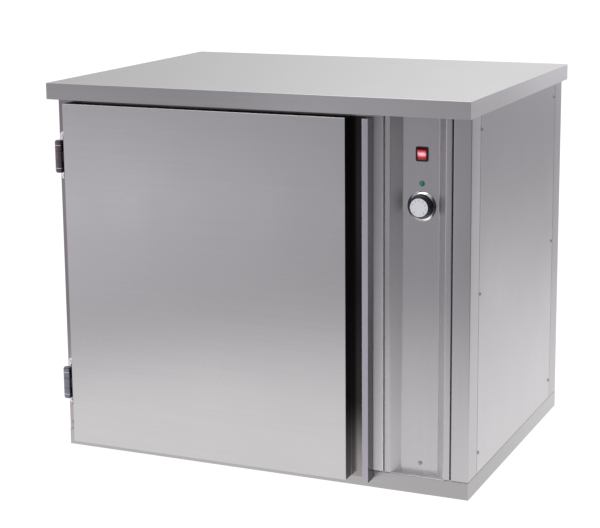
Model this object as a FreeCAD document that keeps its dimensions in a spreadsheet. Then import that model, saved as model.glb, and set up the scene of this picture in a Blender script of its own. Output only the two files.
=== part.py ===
"""Blanket warming cabinet with a worktop, one left-hung door and a recessed control column.

Pieces are placed in cabinet coordinates: x from the carcass's left side, y from its front plane
(backwards positive) and z from the floor. Frame coordinates have their origin at the centre of
the footprint, on the floor, with +Z up and the door facing -Y. All sizes are in millimetres.
"""
import FreeCAD, Part
import math
import os
import Sketcher

SIZES = {
    # carcass
    "body_width": 970.0,
    "body_depth": 702.0,
    "total_height": 850.0,
    "gauge": 1.5,
    "plinth_height": 38.5,
    "plinth_flange": 40.0,
    "foot_flange": 20.0,
    "base_inset": 2.0,
    # worktop
    "worktop_edge": 36.5,
    "side_overhang": 8.0,
    "front_overhang": 36.0,
    "rear_overhang": 21.0,
    "core_recess": 1.5,
    # posts and side panels
    "left_post_width": 61.5,
    "centre_post_width": 60.5,
    "right_post_width": 39.0,
    "rear_post_width": 60.0,
    "corner_flange": 58.0,
    "panel_seam": 2.0,
    "lip_width": 18.0,
    "rail_flange": 28.0,
    # heated chamber
    "header_height": 52.0,
    "sill_height": 42.0,
    "motor_space": 59.0,
    "plenum_depth": 58.5,
    "side_insulation": 52.5,
    "back_insulation": 40.0,
    "insulation_setback": 20.0,
    # shelves
    "shelf_count": 2.0,
    "shelf_clearance": 2.0,
    "shelf_setback": 14.0,
    "shelf_edge": 18.0,
    "runner_width": 16.0,
    "shelf_slot_width": 8.0,
    "shelf_slot_pitch": 26.0,
    # control column
    "column_width": 146.9,
    "panel_gap": 2.8,
    "panel_flange": 13.2,
    "trough_slope": 19.5,
    "trough_depth": 20.5,
    "panel_return": 12.0,
    "control_inset": 113.5,
    "switch_drop": 85.0,
    "switch_width": 27.0,
    "switch_length": 31.0,
    "switch_bezel": 2.2,
    "switch_wall": 1.5,
    "switch_depth": 26.0,
    "rocker_tilt": 10.0,
    "lamp_spacing": 62.0,
    "lamp_radius": 6.0,
    "dial_spacing": 47.5,
    "ring_radius": 31.5,
    "ring_width": 4.5,
    "ring_thickness": 4.0,
    "skirt_radius": 26.0,
    "face_radius": 20.0,
    "knob_projection": 19.0,
    "spindle_radius": 3.0,
    "thermostat_size": 48.0,
    "thermostat_depth": 38.0,
    # door
    "door_left": 31.5,
    "door_bottom": 21.5,
    "door_top_gap": 8.5,
    "door_thickness": 32.5,
    "door_gap": 2.5,
    "centre_post_show": 20.5,
    "grip_width": 37.5,
    "lip_face_width": 13.5,
    "gasket_width": 12.0,
    "gasket_margin": 6.0,
    "catch_width": 14.0,
    "catch_height": 60.0,
    # hinges
    "hinge_axis_inset": 10.5,
    "hinge_axis_reach": 19.0,
    "barrel_radius": 10.0,
    "barrel_length": 68.0,
    "hinge_pin_radius": 3.5,
    "hinge_cap_radius": 8.5,
    "hinge_cap_height": 2.6,
    "ear_width": 13.5,
    "leaf_length": 108.0,
    "door_leaf_length": 96.0,
    "leaf_thickness": 3.0,
    "upper_hinge_drop": 121.5,
    "lower_hinge_rise": 134.5,
    # air system
    "duct_margin": 30.0,
    "duct_slot": 7.0,
    "outlet_inset": 16.0,
    "outlet_width": 56.0,
    "outlet_pitch": 22.0,
    "intake_width": 110.0,
    "intake_pitch": 15.0,
    "impeller_setback": 8.0,
    "impeller_radius": 75.0,
    "impeller_depth": 30.0,
    "blade_count": 12.0,
    "motor_radius": 42.0,
    "motor_length": 50.0,
    "motor_plate": 130.0,
    "motor_shaft_radius": 4.0,
    "element_radius": 98.0,
    "element_tube": 4.2,
    # fasteners, seats and clearances
    "screw_head_radius": 4.5,
    "screw_head_height": 1.8,
    "screw_shank_radius": 2.0,
    "screw_clearance": 0.1,
    "worktop_screw_grip": 20.0,
    "foot_screw_rise": 24.0,
    "low_screw_inset": 45.0,
    "high_screw_inset": 34.0,
    "header_screw_inset": 60.0,
    "running_clearance": 0.05,
    "moving_gap": 0.5,
    # back panel vents
    "vent_drop": 86.0,
    "vent_slot": 5.0,
    "vent_pitch": 14.0,
    "vent_width": 100.0,
    # electrics
    "gland_height": 96.0,
    "gland_radius": 9.0,
    "gland_reach": 17.0,
    "gland_thread": 12.0,
    "gland_nut": 5.0,
    "terminal_length": 64.0,
    "terminal_depth": 36.0,
    "terminal_height": 24.0,
    "terminal_setback": 60.0,
    "harness_radius": 5.0,
    "capillary_radius": 1.5,
    "bulb_radius": 4.0,
    "bulb_length": 90.0,
}

doc = FreeCAD.newDocument("blanket_warming_cabinet")
sheet = doc.addObject("Spreadsheet::Sheet", "Sizes")
for row, (alias, number) in enumerate(SIZES.items(), start=1):
    sheet.set(f"A{row}", alias)
    sheet.set(f"B{row}", str(number))
    sheet.setAlias(f"B{row}", alias)
doc.recompute()


class Length:
    """A size as the expression that binds it to the sheet, with its present value."""

    def __init__(self, text, value):
        self.text = text
        self.value = value

    def __add__(self, other):
        other = length(other)
        return Length(f"({self.text} + {other.text})", self.value + other.value)

    def __sub__(self, other):
        other = length(other)
        return Length(f"({self.text} - {other.text})", self.value - other.value)

    def __mul__(self, other):
        other = length(other)
        return Length(f"({self.text} * {other.text})", self.value * other.value)

    def __truediv__(self, other):
        other = length(other)
        return Length(f"({self.text} / {other.text})", self.value / other.value)

    def __radd__(self, other):
        return length(other) + self

    def __rsub__(self, other):
        return length(other) - self

    def __rmul__(self, other):
        return length(other) * self

    def __neg__(self):
        return length(0) - self


def length(number):
    """Wrap a plain number, so that it can stand in an expression."""
    if isinstance(number, Length):
        return number
    return Length(f"({number})", float(number))


def size(alias):
    """The named cell of the sheet."""
    return Length(f"Sizes.{alias}", float(SIZES[alias]))


def cosine(angle):
    """The cosine of an angle in degrees."""
    return Length(f"cos({angle.text})", math.cos(math.radians(angle.value)))


def sine(angle):
    """The sine of an angle in degrees."""
    return Length(f"sin({angle.text})", math.sin(math.radians(angle.value)))


def half_bend(rise, run):
    """The tangent of half the bend whose leg rises by rise over run."""
    value = math.tan(math.atan2(rise.value, run.value) / 2)
    return Length(f"tan(atan({rise.text} / {run.text}) / 2)", value)


GAUGE = size("gauge")
WIDTH = size("body_width")
DEPTH = size("body_depth")

# frame coordinates of the cabinet's zero point
ORIGIN_X = -WIDTH / 2
ORIGIN_Y = (size("front_overhang") - size("rear_overhang") - DEPTH) / 2

# levels
PLINTH_TOP = size("plinth_height")
BASE_TOP = PLINTH_TOP + GAUGE
WORKTOP_BOTTOM = size("total_height") - size("worktop_edge")
BODY_TOP = WORKTOP_BOTTOM + size("core_recess")
CHAMBER_FLOOR = BASE_TOP + size("sill_height")
CHAMBER_TOP = BODY_TOP - size("header_height")
SWITCH_HEIGHT = BODY_TOP - size("switch_drop")
LAMP_HEIGHT = SWITCH_HEIGHT - size("lamp_spacing")
DIAL_HEIGHT = LAMP_HEIGHT - size("dial_spacing")

# planes across the cabinet
RIGHT_POST_LEFT = WIDTH - size("right_post_width")
PANEL_RIGHT = RIGHT_POST_LEFT - size("panel_gap")
PANEL_LEFT = PANEL_RIGHT - size("column_width")
CENTRE_POST_RIGHT = PANEL_LEFT - size("panel_gap")
CHAMBER_RIGHT = CENTRE_POST_RIGHT - size("centre_post_width")
CHAMBER_LEFT = size("left_post_width")
COMPARTMENT_LEFT = CHAMBER_RIGHT + GAUGE + size("side_insulation")
CONTROL_X = WIDTH - size("control_inset")
CHAMBER_MIDDLE = (CHAMBER_LEFT + CHAMBER_RIGHT) / 2
FAN_HEIGHT = (CHAMBER_FLOOR + CHAMBER_TOP) / 2

# planes from front to back
BACK_INNER = DEPTH - GAUGE
INSULATION_BACK = BACK_INNER - size("motor_space")
CHAMBER_BACK = INSULATION_BACK - size("back_insulation") - GAUGE
DUCT_FRONT = CHAMBER_BACK - size("plenum_depth") - GAUGE
TROUGH = size("trough_depth")

# door
DOOR_LEFT = size("door_left")
DOOR_RIGHT = CENTRE_POST_RIGHT - size("centre_post_show")
GRIP_RIGHT = DOOR_RIGHT - size("lip_face_width")
GRIP_LEFT = GRIP_RIGHT - size("grip_width")
DOOR_BACK = -size("door_gap")
DOOR_FRONT = DOOR_BACK - size("door_thickness")
DOOR_BOTTOM = size("door_bottom")
DOOR_TOP = WORKTOP_BOTTOM - size("door_top_gap")

HINGE_X = size("hinge_axis_inset")
HINGE_Y = -size("hinge_axis_reach")
HINGE_HEIGHTS = {
    "upper": DOOR_TOP - size("upper_hinge_drop"),
    "lower": DOOR_BOTTOM + size("lower_hinge_rise"),
}

SCREW_HOLE = size("screw_shank_radius") + size("screw_clearance")

ROTATIONS = {
    "x": FreeCAD.Rotation(FreeCAD.Vector(0, 1, 0), 90),
    "y": FreeCAD.Rotation(FreeCAD.Vector(1, 0, 0), -90),
    "z": FreeCAD.Rotation(),
}
sub_parts = []


def bind(target, prop, value):
    """Bind a property to the expression of a size."""
    target.setExpression(prop, length(value).text)


def place(target, x, y, z, rotation=None):
    """Put an object's origin at a point given in cabinet coordinates."""
    if rotation is not None:
        target.Placement = FreeCAD.Placement(FreeCAD.Vector(), rotation)
    bind(target, "Placement.Base.x", ORIGIN_X + x)
    bind(target, "Placement.Base.y", ORIGIN_Y + y)
    bind(target, "Placement.Base.z", length(z))


def box(x, y, z):
    """A rectangular block between pairs of planes."""
    made = doc.addObject("Part::Box", "Block")
    for prop, (low, high) in zip(("Length", "Width", "Height"), (x, y, z)):
        bind(made, prop, length(high) - length(low))
    place(made, x[0], y[0], z[0])
    return made


def rod(x, y, z, axis, radius, run):
    """A round bar from a point, along +axis."""
    made = doc.addObject("Part::Cylinder", "Rod")
    bind(made, "Radius", radius)
    bind(made, "Height", run)
    place(made, x, y, z, ROTATIONS[axis])
    return made


def fuse(pieces):
    """One solid made from touching pieces, such as a folded sheet's plates."""
    made = doc.addObject("Part::MultiFuse", "Fusion")
    made.Shapes = pieces
    made.Refine = True
    return made


def cut(base, tools):
    """The base with the tools taken out of it."""
    tool = tools[0] if len(tools) == 1 else group(tools)
    made = doc.addObject("Part::Cut", "Cut")
    made.Base = base
    made.Tool = tool
    made.Refine = True
    return made


def group(pieces):
    """Separate solids kept together as one node."""
    made = doc.addObject("Part::Compound", "Group")
    made.Links = pieces
    return made


def sub_part(label, made):
    """Name an object as a piece of the cabinet that gets its own file."""
    made.Label = label
    sub_parts.append(made)
    return made


def new_body(label):
    body = doc.addObject("PartDesign::Body", "Body")
    body.Label = label
    return body


def new_sketch(body, role):
    """An empty sketch on one of the body's own origin planes."""
    sketch = body.newObject("Sketcher::SketchObject", "Outline")
    plane = next(item for item in body.Origin.OriginFeatures if item.Role == role)
    sketch.AttachmentSupport = (plane, [""])
    sketch.MapMode = "FlatFace"
    return sketch


def draw_loop(sketch, points):
    """A closed polygon whose corners are held by dimensions bound to the sheet."""
    corners = [FreeCAD.Vector(length(u).value, length(v).value, 0) for u, v in points]
    first = sketch.GeometryCount
    for index, corner in enumerate(corners):
        sketch.addGeometry(Part.LineSegment(corner, corners[(index + 1) % len(corners)]), False)
    for index, (u, v) in enumerate(points):
        line = first + index
        following = first + (index + 1) % len(points)
        sketch.addConstraint(Sketcher.Constraint("Coincident", line, 2, following, 1))
        for kind, distance in (("DistanceX", u), ("DistanceY", v)):
            held = sketch.addConstraint(
                Sketcher.Constraint(kind, -1, 1, line, 1, length(distance).value)
            )
            bind(sketch, f"Constraints[{held}]", distance)


def extruded(label, loops, low, high):
    """A section drawn in cabinet x and y, extruded upwards between two levels."""
    body = new_body(label)
    sketch = new_sketch(body, "XY_Plane")
    for loop in loops:
        draw_loop(sketch, [(ORIGIN_X + x, ORIGIN_Y + y) for x, y in loop])
    pad = body.newObject("PartDesign::Pad", "Pad")
    pad.Profile = sketch
    bind(pad, "Length", length(high) - length(low))
    bind(body, "Placement.Base.z", low)
    return body


def turned(label, outline, x, y, z):
    """A section of (radius, depth) points turned about an axis along y."""
    body = new_body(label)
    sketch = new_sketch(body, "XY_Plane")
    draw_loop(sketch, outline)
    turning = body.newObject("PartDesign::Revolution", "Turning")
    turning.Profile = sketch
    turning.ReferenceAxis = (sketch, ["V_Axis"])
    turning.Angle = 360
    place(body, x, y, z)
    return body


def slotted_plate(label, plane, u, v, placed, slot_groups):
    """A flat sheet with rows of slots: each group has its columns, first row, height, pitch, rows."""
    body = new_body(label)
    sketch = new_sketch(body, plane)
    draw_loop(sketch, [(u[0], v[0]), (u[1], v[0]), (u[1], v[1]), (u[0], v[1])])
    pad = body.newObject("PartDesign::Pad", "Pad")
    pad.Profile = sketch
    bind(pad, "Length", GAUGE)
    for columns, first_row, height, pitch, rows in slot_groups:
        slots = new_sketch(body, plane)
        for low, high in columns:
            top = first_row + height
            draw_loop(slots, [(low, first_row), (high, first_row), (high, top), (low, top)])
        pocket = body.newObject("PartDesign::Pocket", "Slots")
        pocket.Profile = slots
        pocket.Midplane = True
        bind(pocket, "Length", GAUGE * 4)
        pattern = body.newObject("PartDesign::LinearPattern", "Rows")
        pattern.Originals = [pocket]
        pattern.Direction = (slots, ["V_Axis"])
        bind(pattern, "Length", pitch * (rows - 1))
        pattern.Occurrences = rows
        body.Tip = pattern
    place(body, *placed)
    return body


def from_side(side, low, high):
    """A span measured from the left or the right side of the carcass."""
    if side == "left":
        return low, high
    return WIDTH - high, WIDTH - low


def from_end(end, low, high):
    """A span measured from the front or the rear plane of the carcass."""
    if end == "front":
        return low, high
    return DEPTH - high, DEPTH - low


def screw(x, y, z, axis, inward, grip):
    """A pan-head screw: the head stands off the face at the point, the shank grips inwards."""
    head_height = size("screw_head_height")
    start = {"x": x, "y": y, "z": z}
    shank_start = dict(start)
    if inward > 0:
        start[axis] = start[axis] - head_height
    else:
        shank_start[axis] = shank_start[axis] - grip
    head = rod(start["x"], start["y"], start["z"], axis, size("screw_head_radius"), head_height)
    shank = rod(
        shank_start["x"], shank_start["y"], shank_start["z"], axis, size("screw_shank_radius"), grip
    )
    return fuse([head, shank])


def screw_bore(x, y, z, axis):
    """A clearance hole centred on a point of a sheet, long enough for any folded edge."""
    reach = size("lip_width")
    point = {"x": x, "y": y, "z": z}
    point[axis] = point[axis] - reach / 2
    return rod(point["x"], point["y"], point["z"], axis, SCREW_HOLE, reach)


def swept_tube(label, points, radius, bend):
    """A round tube along straight runs joined by tangent arcs, no wider than the bend allows."""
    corners = [
        FreeCAD.Vector((ORIGIN_X + x).value, (ORIGIN_Y + y).value, length(z).value)
        for x, y, z in points
    ]
    edges = []
    start = corners[0]
    for before, corner, after in zip(corners, corners[1:], corners[2:]):
        back = (before - corner).normalize()
        ahead = (after - corner).normalize()
        shorter_run = min((before - corner).Length, (after - corner).Length)
        setback = min(0.45 * shorter_run, bend.value)
        arc_start, arc_end = corner + back * setback, corner + ahead * setback
        half_turn = back.getAngle(ahead) / 2
        centre_distance = setback / math.cos(half_turn)
        bisector = (back + ahead).normalize()
        middle = corner + bisector * (centre_distance - setback * math.tan(half_turn))
        edges.append(Part.LineSegment(start, arc_start).toShape())
        edges.append(Part.Arc(arc_start, middle, arc_end).toShape())
        start = arc_end
    edges.append(Part.LineSegment(start, corners[-1]).toShape())
    path = Part.Wire(edges)
    section = Part.Wire([Part.makeCircle(radius.value, corners[0], corners[1] - corners[0])])
    made = doc.addObject("Part::Feature", "Tube")
    made.Shape = path.makePipeShell([section], True, False)
    made.Label = label
    return made


def plinth():
    """Four folded rails that stand on the floor and carry the base panel."""
    flange = size("plinth_flange")
    foot = size("foot_flange")
    for end in ("front", "rear"):
        across = (GAUGE, WIDTH - GAUGE)
        face = box(across, from_end(end, 0, GAUGE), (0, PLINTH_TOP))
        top = box(across, from_end(end, 0, flange), (PLINTH_TOP - GAUGE, PLINTH_TOP))
        bottom = box(across, from_end(end, 0, foot), (0, GAUGE))
        sub_part(f"plinth_{end}_rail", fuse([face, top, bottom]))
    for side in ("left", "right"):
        face = box(from_side(side, 0, GAUGE), (0, DEPTH), (0, PLINTH_TOP))
        top = box(
            from_side(side, 0, flange), (flange, DEPTH - flange), (PLINTH_TOP - GAUGE, PLINTH_TOP)
        )
        bottom = box(from_side(side, 0, foot), (foot, DEPTH - foot), (0, GAUGE))
        sub_part(f"plinth_{side}_rail", fuse([face, top, bottom]))


def side_screw_points(side):
    """Where the side panels are screwed to the lips of the posts."""
    x = GAUGE if side == "left" else WIDTH - GAUGE
    inset = size("corner_flange") + size("panel_seam") + size("lip_width") / 2 - GAUGE
    low = BASE_TOP + size("low_screw_inset")
    high = BODY_TOP - size("high_screw_inset")
    return [(x, y, z) for y in (inset, DEPTH - inset) for z in (low, (low + high) / 2, high)]


def back_screw_points():
    """Where the back panel is screwed to the lips of the rear posts."""
    inset = size("rear_post_width") + size("panel_seam") + size("lip_width") / 2 - GAUGE
    low = BASE_TOP + size("low_screw_inset")
    high = BODY_TOP - size("high_screw_inset")
    return [
        (x, BACK_INNER, z) for x in (inset, WIDTH - inset) for z in (low, (low + high) / 2, high)
    ]


def hinge_screw_points():
    """Where the hinges' frame leaves are screwed to the left post."""
    reach = (size("leaf_length") - size("ear_width")) / 2
    return [
        (HINGE_X, -size("leaf_thickness"), height + offset)
        for height in HINGE_HEIGHTS.values()
        for offset in (-reach, reach)
    ]


def post_screw_point():
    """The screw that holds the left post to the base."""
    return HINGE_X, length(0), BASE_TOP + size("screw_head_radius") * 3


def corner_post(side, end, width):
    """A folded corner post, with a set-back lip behind the edge of the side panel."""
    flange = size("corner_flange")
    lip = size("lip_width")
    rise = (BASE_TOP, BODY_TOP)
    plates = [
        box(from_side(side, 0, width), from_end(end, 0, GAUGE), rise),
        box(from_side(side, 0, GAUGE), from_end(end, 0, flange), rise),
        box(from_side(side, GAUGE, GAUGE * 2), from_end(end, flange - GAUGE, flange + lip), rise),
    ]
    if end == "rear":
        plates.append(
            box(
                from_side(side, width - GAUGE, width + lip),
                from_end(end, GAUGE, GAUGE * 2),
                rise,
            )
        )
    bores = [screw_bore(*point, "x") for point in side_screw_points(side)]
    return plates, bores


def panel_lip(low, high):
    """The set-back plate that the control panel's return rests on."""
    depth = size("panel_return")
    return box((low, high), (depth, depth + GAUGE), (BASE_TOP, BODY_TOP))


def frame():
    """Posts, header and sill: the welded front and back of the carcass."""
    rise = (BASE_TOP, BODY_TOP)
    lip = size("lip_width")
    return_depth = size("panel_return") + GAUGE

    plates, bores = corner_post("left", "front", size("left_post_width"))
    bores += [screw_bore(*point, "y") for point in hinge_screw_points()]
    bores.append(screw_bore(*post_screw_point(), "y"))
    sub_part("front_left_post", cut(fuse(plates), bores))

    plates, bores = corner_post("right", "front", size("right_post_width"))
    plates.append(box((RIGHT_POST_LEFT, RIGHT_POST_LEFT + GAUGE), (0, return_depth), rise))
    plates.append(panel_lip(RIGHT_POST_LEFT - lip + size("panel_gap"), RIGHT_POST_LEFT + GAUGE))
    sub_part("front_right_post", cut(fuse(plates), bores))

    for side in ("left", "right"):
        plates, bores = corner_post(side, "rear", size("rear_post_width"))
        bores += [screw_bore(*point, "y") for point in back_screw_points()]
        sub_part(f"rear_{side}_post", cut(fuse(plates), bores))

    plates = [
        box((CHAMBER_RIGHT, CENTRE_POST_RIGHT), (0, GAUGE), rise),
        box((CENTRE_POST_RIGHT - GAUGE, CENTRE_POST_RIGHT), (0, return_depth), rise),
        panel_lip(CENTRE_POST_RIGHT - GAUGE, CENTRE_POST_RIGHT + lip - size("panel_gap")),
    ]
    slot = size("moving_gap")
    window = box(
        (catch_span()[0] - slot, catch_span()[1] + slot),
        (-GAUGE, GAUGE * 2),
        (catch_rise()[0] - slot, catch_rise()[1] + slot),
    )
    sub_part("centre_post", cut(fuse(plates), [window]))

    across = (CHAMBER_LEFT, CHAMBER_RIGHT)
    flange = (GAUGE, size("rail_flange"))
    header = fuse([
        box(across, (0, GAUGE), (CHAMBER_TOP, BODY_TOP)),
        box(across, flange, (BODY_TOP - GAUGE, BODY_TOP)),
    ])
    bores = [screw_bore(*point, "z") for point in worktop_screw_points()]
    sub_part("front_header", cut(header, bores))
    sub_part(
        "front_sill",
        fuse([
            box(across, (0, GAUGE), (BASE_TOP, CHAMBER_FLOOR)),
            box(across, flange, (BASE_TOP, BASE_TOP + GAUGE)),
        ]),
    )


def control_screw_point():
    """The screw near the foot of the control column."""
    return CONTROL_X, TROUGH, PLINTH_TOP + size("foot_screw_rise")


def base_panel():
    """The floor of the carcass, with the tab that the control panel is screwed to."""
    inset = size("base_inset")
    x, _, z = control_screw_point()
    half = size("lip_width") / 2
    tab_front = TROUGH + GAUGE
    sheet_plate = box((inset, WIDTH - inset), (inset, DEPTH - inset), (PLINTH_TOP, BASE_TOP))
    tab = box((x - half, x + half), (tab_front, tab_front + GAUGE), (BASE_TOP - GAUGE, z + half))
    sub_part("base_panel", cut(fuse([sheet_plate, tab]), [screw_bore(*control_screw_point(), "y")]))


def outer_panels():
    """The screwed-on side and back panels, with all their screws."""
    screws = []
    ends = size("corner_flange") + size("panel_seam")
    for side, inward in (("left", 1), ("right", -1)):
        points = side_screw_points(side)
        plate = box(from_side(side, 0, GAUGE), (ends, DEPTH - ends), (BASE_TOP, BODY_TOP))
        bores = [screw_bore(*point, "x") for point in points]
        sub_part(f"{side}_side_panel", cut(plate, bores))
        face = length(0) if side == "left" else WIDTH
        screws += [screw(face, y, z, "x", inward, GAUGE * 2) for _, y, z in points]

    ends = size("rear_post_width") + size("panel_seam")
    rows = 8
    pitch = size("vent_pitch")
    first_row = BODY_TOP - size("vent_drop") - pitch * rows
    vent = size("vent_width")
    columns = [
        (CHAMBER_MIDDLE - vent / 2, CHAMBER_MIDDLE + vent / 2),
        (CONTROL_X - vent / 2, CONTROL_X + vent / 5),
    ]
    vents = [(columns, first_row, size("vent_slot"), pitch, rows)]
    plate = slotted_plate(
        "back_plate", "XZ_Plane", (ends, WIDTH - ends), (BASE_TOP, BODY_TOP), (0, DEPTH, 0), vents
    )
    bores = [screw_bore(*point, "y") for point in back_screw_points()]
    bores.append(
        rod(
            CONTROL_X,
            BACK_INNER - GAUGE,
            size("gland_height"),
            "y",
            size("gland_radius") * 0.7 + size("screw_clearance"),
            GAUGE * 3,
        )
    )
    sub_part("back_panel", cut(plate, bores))
    screws += [screw(x, DEPTH, z, "y", -1, GAUGE * 2) for x, _, z in back_screw_points()]
    sub_part("panel_screws", group(screws))


def worktop_screw_points():
    """Where the worktop's board is screwed to the header."""
    y = (GAUGE + size("rail_flange")) / 2
    inset = size("header_screw_inset")
    return [(x, y, BODY_TOP - GAUGE) for x in (CHAMBER_LEFT + inset, CHAMBER_RIGHT - inset)]


def worktop():
    """A folded steel pan over a board, screwed up through the header."""
    edges_x = (-size("side_overhang"), WIDTH + size("side_overhang"))
    edges_y = (-size("front_overhang"), DEPTH + size("rear_overhang"))
    top = size("total_height")
    pan = box(edges_x, edges_y, (WORKTOP_BOTTOM, top))
    inside_x = (edges_x[0] + GAUGE, edges_x[1] - GAUGE)
    inside_y = (edges_y[0] + GAUGE, edges_y[1] - GAUGE)
    sub_part("worktop", cut(pan, [box(inside_x, inside_y, (WORKTOP_BOTTOM - GAUGE, top - GAUGE))]))

    grip = size("worktop_screw_grip")
    points = worktop_screw_points()
    sub_part("worktop_screws", group([screw(*point, "z", 1, grip) for point in points]))
    board = box(inside_x, inside_y, (BODY_TOP, top - GAUGE))
    pilots = [rod(x, y, z - GAUGE, "z", SCREW_HOLE, grip + GAUGE * 2) for x, y, z in points]
    sub_part("worktop_core", cut(board, pilots))


def control_panel():
    """The tall recessed column with its angled cheeks."""
    flange = size("panel_flange")
    slope = size("trough_slope")
    rear = size("panel_return")
    shift = half_bend(TROUGH, slope) * GAUGE
    left_fold = PANEL_LEFT + flange
    right_fold = PANEL_RIGHT - flange
    section = [
        (PANEL_LEFT, 0),
        (left_fold, 0),
        (left_fold + slope, TROUGH),
        (right_fold - slope, TROUGH),
        (right_fold, 0),
        (PANEL_RIGHT, 0),
        (PANEL_RIGHT, rear),
        (PANEL_RIGHT - GAUGE, rear),
        (PANEL_RIGHT - GAUGE, GAUGE),
        (right_fold + shift, GAUGE),
        (right_fold - slope + shift, TROUGH + GAUGE),
        (left_fold + slope - shift, TROUGH + GAUGE),
        (left_fold - shift, GAUGE),
        (PANEL_LEFT + GAUGE, GAUGE),
        (PANEL_LEFT + GAUGE, rear),
        (PANEL_LEFT, rear),
    ]
    sheet_metal = extruded("control_sheet", [section], BASE_TOP, BODY_TOP)
    clear = size("screw_clearance")
    half_width = size("switch_width") / 2 - size("switch_wall") + clear
    half_length = size("switch_length") / 2 - size("switch_wall") + clear
    height = SWITCH_HEIGHT
    through = (TROUGH - GAUGE, TROUGH + GAUGE * 2)
    openings = [
        box(
            (CONTROL_X - half_width, CONTROL_X + half_width),
            through,
            (height - half_length, height + half_length),
        ),
        rod(
            CONTROL_X, through[0], LAMP_HEIGHT, "y", lamp_barrel_radius() + clear, GAUGE * 3
        ),
        rod(
            CONTROL_X,
            through[0],
            DIAL_HEIGHT,
            "y",
            size("spindle_radius") + size("moving_gap"),
            GAUGE * 3,
        ),
        screw_bore(*control_screw_point(), "y"),
    ]
    sub_part("control_panel", cut(sheet_metal, openings))
    x, y, z = post_screw_point()
    sub_part(
        "front_screws",
        group([screw(*control_screw_point(), "y", 1, GAUGE * 2), screw(x, y, z, "y", 1, GAUGE)]),
    )


def lamp_barrel_radius():
    return size("lamp_radius") * 0.75


def rocker_switch():
    """The lit rocker in its housing, pivoting on two stub pins."""
    wall = size("switch_wall")
    bezel = size("switch_bezel")
    height = SWITCH_HEIGHT
    half_width = size("switch_width") / 2
    half_length = size("switch_length") / 2
    rear = TROUGH + size("switch_depth")
    front = TROUGH - bezel
    pivot_y = TROUGH + 6.5
    pin_radius = length(1.5)
    pocket_width = half_width - wall * 2.4
    pocket_length = half_length - wall
    rim = box(
        (CONTROL_X - half_width, CONTROL_X + half_width),
        (front, TROUGH),
        (height - half_length, height + half_length),
    )
    shell = box(
        (CONTROL_X - half_width + wall, CONTROL_X + half_width - wall),
        (TROUGH - bezel / 2, rear),
        (height - half_length + wall, height + half_length - wall),
    )
    pocket = box(
        (CONTROL_X - pocket_width, CONTROL_X + pocket_width),
        (front - wall, rear - wall * 4),
        (height - pocket_length + wall / 2, height + pocket_length - wall / 2),
    )
    hole_reach = half_width - wall
    bores = rod(
        CONTROL_X - hole_reach + wall / 3,
        pivot_y,
        height,
        "x",
        pin_radius + size("running_clearance"),
        (hole_reach - wall / 3) * 2,
    )
    sub_part("switch_housing", cut(fuse([rim, shell]), [pocket, bores]))

    half = pocket_width - size("moving_gap") / 2
    reach = pocket_length - wall * 1.6
    tilt = size("rocker_tilt")
    outline = [
        (-7.5, length(0)),
        (-9.2, reach),
        (-3, reach),
        (4, reach / 2),
        (4, -reach / 2),
        (-3, -reach),
        (-9.2, -reach),
    ]
    body = new_body("rocker_cap")
    sketch = new_sketch(body, "YZ_Plane")
    draw_loop(
        sketch,
        [
            (cosine(tilt) * y - sine(tilt) * z, sine(tilt) * y + cosine(tilt) * z)
            for y, z in outline
        ],
    )
    pad = body.newObject("PartDesign::Pad", "Pad")
    pad.Profile = sketch
    bind(pad, "Length", half * 2)
    place(body, CONTROL_X - half, pivot_y, height)
    pin_reach = hole_reach - wall / 2
    pin = rod(CONTROL_X - pin_reach, pivot_y, height, "x", pin_radius, pin_reach * 2)
    sub_part("switch_rocker", fuse([body, pin]))
    return pivot_y


def lamp():
    """The round indicator lamp, domed in front of the sheet."""
    radius = size("lamp_radius")
    barrel = lamp_barrel_radius()
    outline = [
        (0, -radius),
        (radius * 0.5, -radius * 0.87),
        (radius * 0.87, -radius * 0.5),
        (radius, length(0)),
        (barrel, length(0)),
        (barrel, radius * 4),
        (0, radius * 4),
    ]
    sub_part(
        "indicator_lamp", turned("indicator_lamp", outline, CONTROL_X, TROUGH, LAMP_HEIGHT)
    )


def thermostat():
    """The dial: a fixed ring, the knob on its spindle, and the capillary thermostat behind."""
    height = DIAL_HEIGHT
    ring = size("ring_radius")
    thick = size("ring_thickness")
    bevel = thick / 2
    inner = ring - size("ring_width")
    outline = [(inner, 0), (ring, 0), (ring, -bevel), (ring - bevel, -thick), (inner, -thick)]
    sub_part(
        "thermostat_bezel", turned("thermostat_bezel", outline, CONTROL_X, TROUGH, height)
    )

    gap = size("moving_gap")
    skirt = size("skirt_radius")
    face = size("face_radius")
    front = -size("knob_projection")
    spindle = size("spindle_radius")
    socket_front = GAUGE
    spindle_end = socket_front + size("thermostat_depth") / 2
    outline = [
        (0, front),
        (face, front),
        (face + 1.5, front + 1.5),
        (skirt - 1.5, -thick - 2),
        (skirt, -thick),
        (skirt, -gap),
        (spindle, -gap),
        (spindle, spindle_end),
        (0, spindle_end),
    ]
    cap = turned("knob_cap", outline, CONTROL_X, TROUGH, height)
    tab_root = skirt - 4
    tab = box(
        (CONTROL_X + tab_root, CONTROL_X + ring - 2),
        (TROUGH - thick - 4, TROUGH - thick - gap),
        (height - 1.6, height + 1.6),
    )
    sub_part("thermostat_knob", fuse([cap, tab]))

    half = size("thermostat_size") / 2
    behind = TROUGH + GAUGE
    block = box(
        (CONTROL_X - half, CONTROL_X + half),
        (behind, behind + size("thermostat_depth")),
        (height - half, height + half * 0.6),
    )
    socket = rod(
        CONTROL_X,
        behind - GAUGE,
        height,
        "y",
        spindle + size("running_clearance"),
        size("thermostat_depth") * 0.75,
    )
    sub_part("thermostat_body", cut(block, [socket]))


def capillary_point():
    """Where the sensor's capillary crosses the chamber wall, behind the air duct."""
    return (DUCT_FRONT + GAUGE + CHAMBER_BACK) / 2, DIAL_HEIGHT - 8


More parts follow.
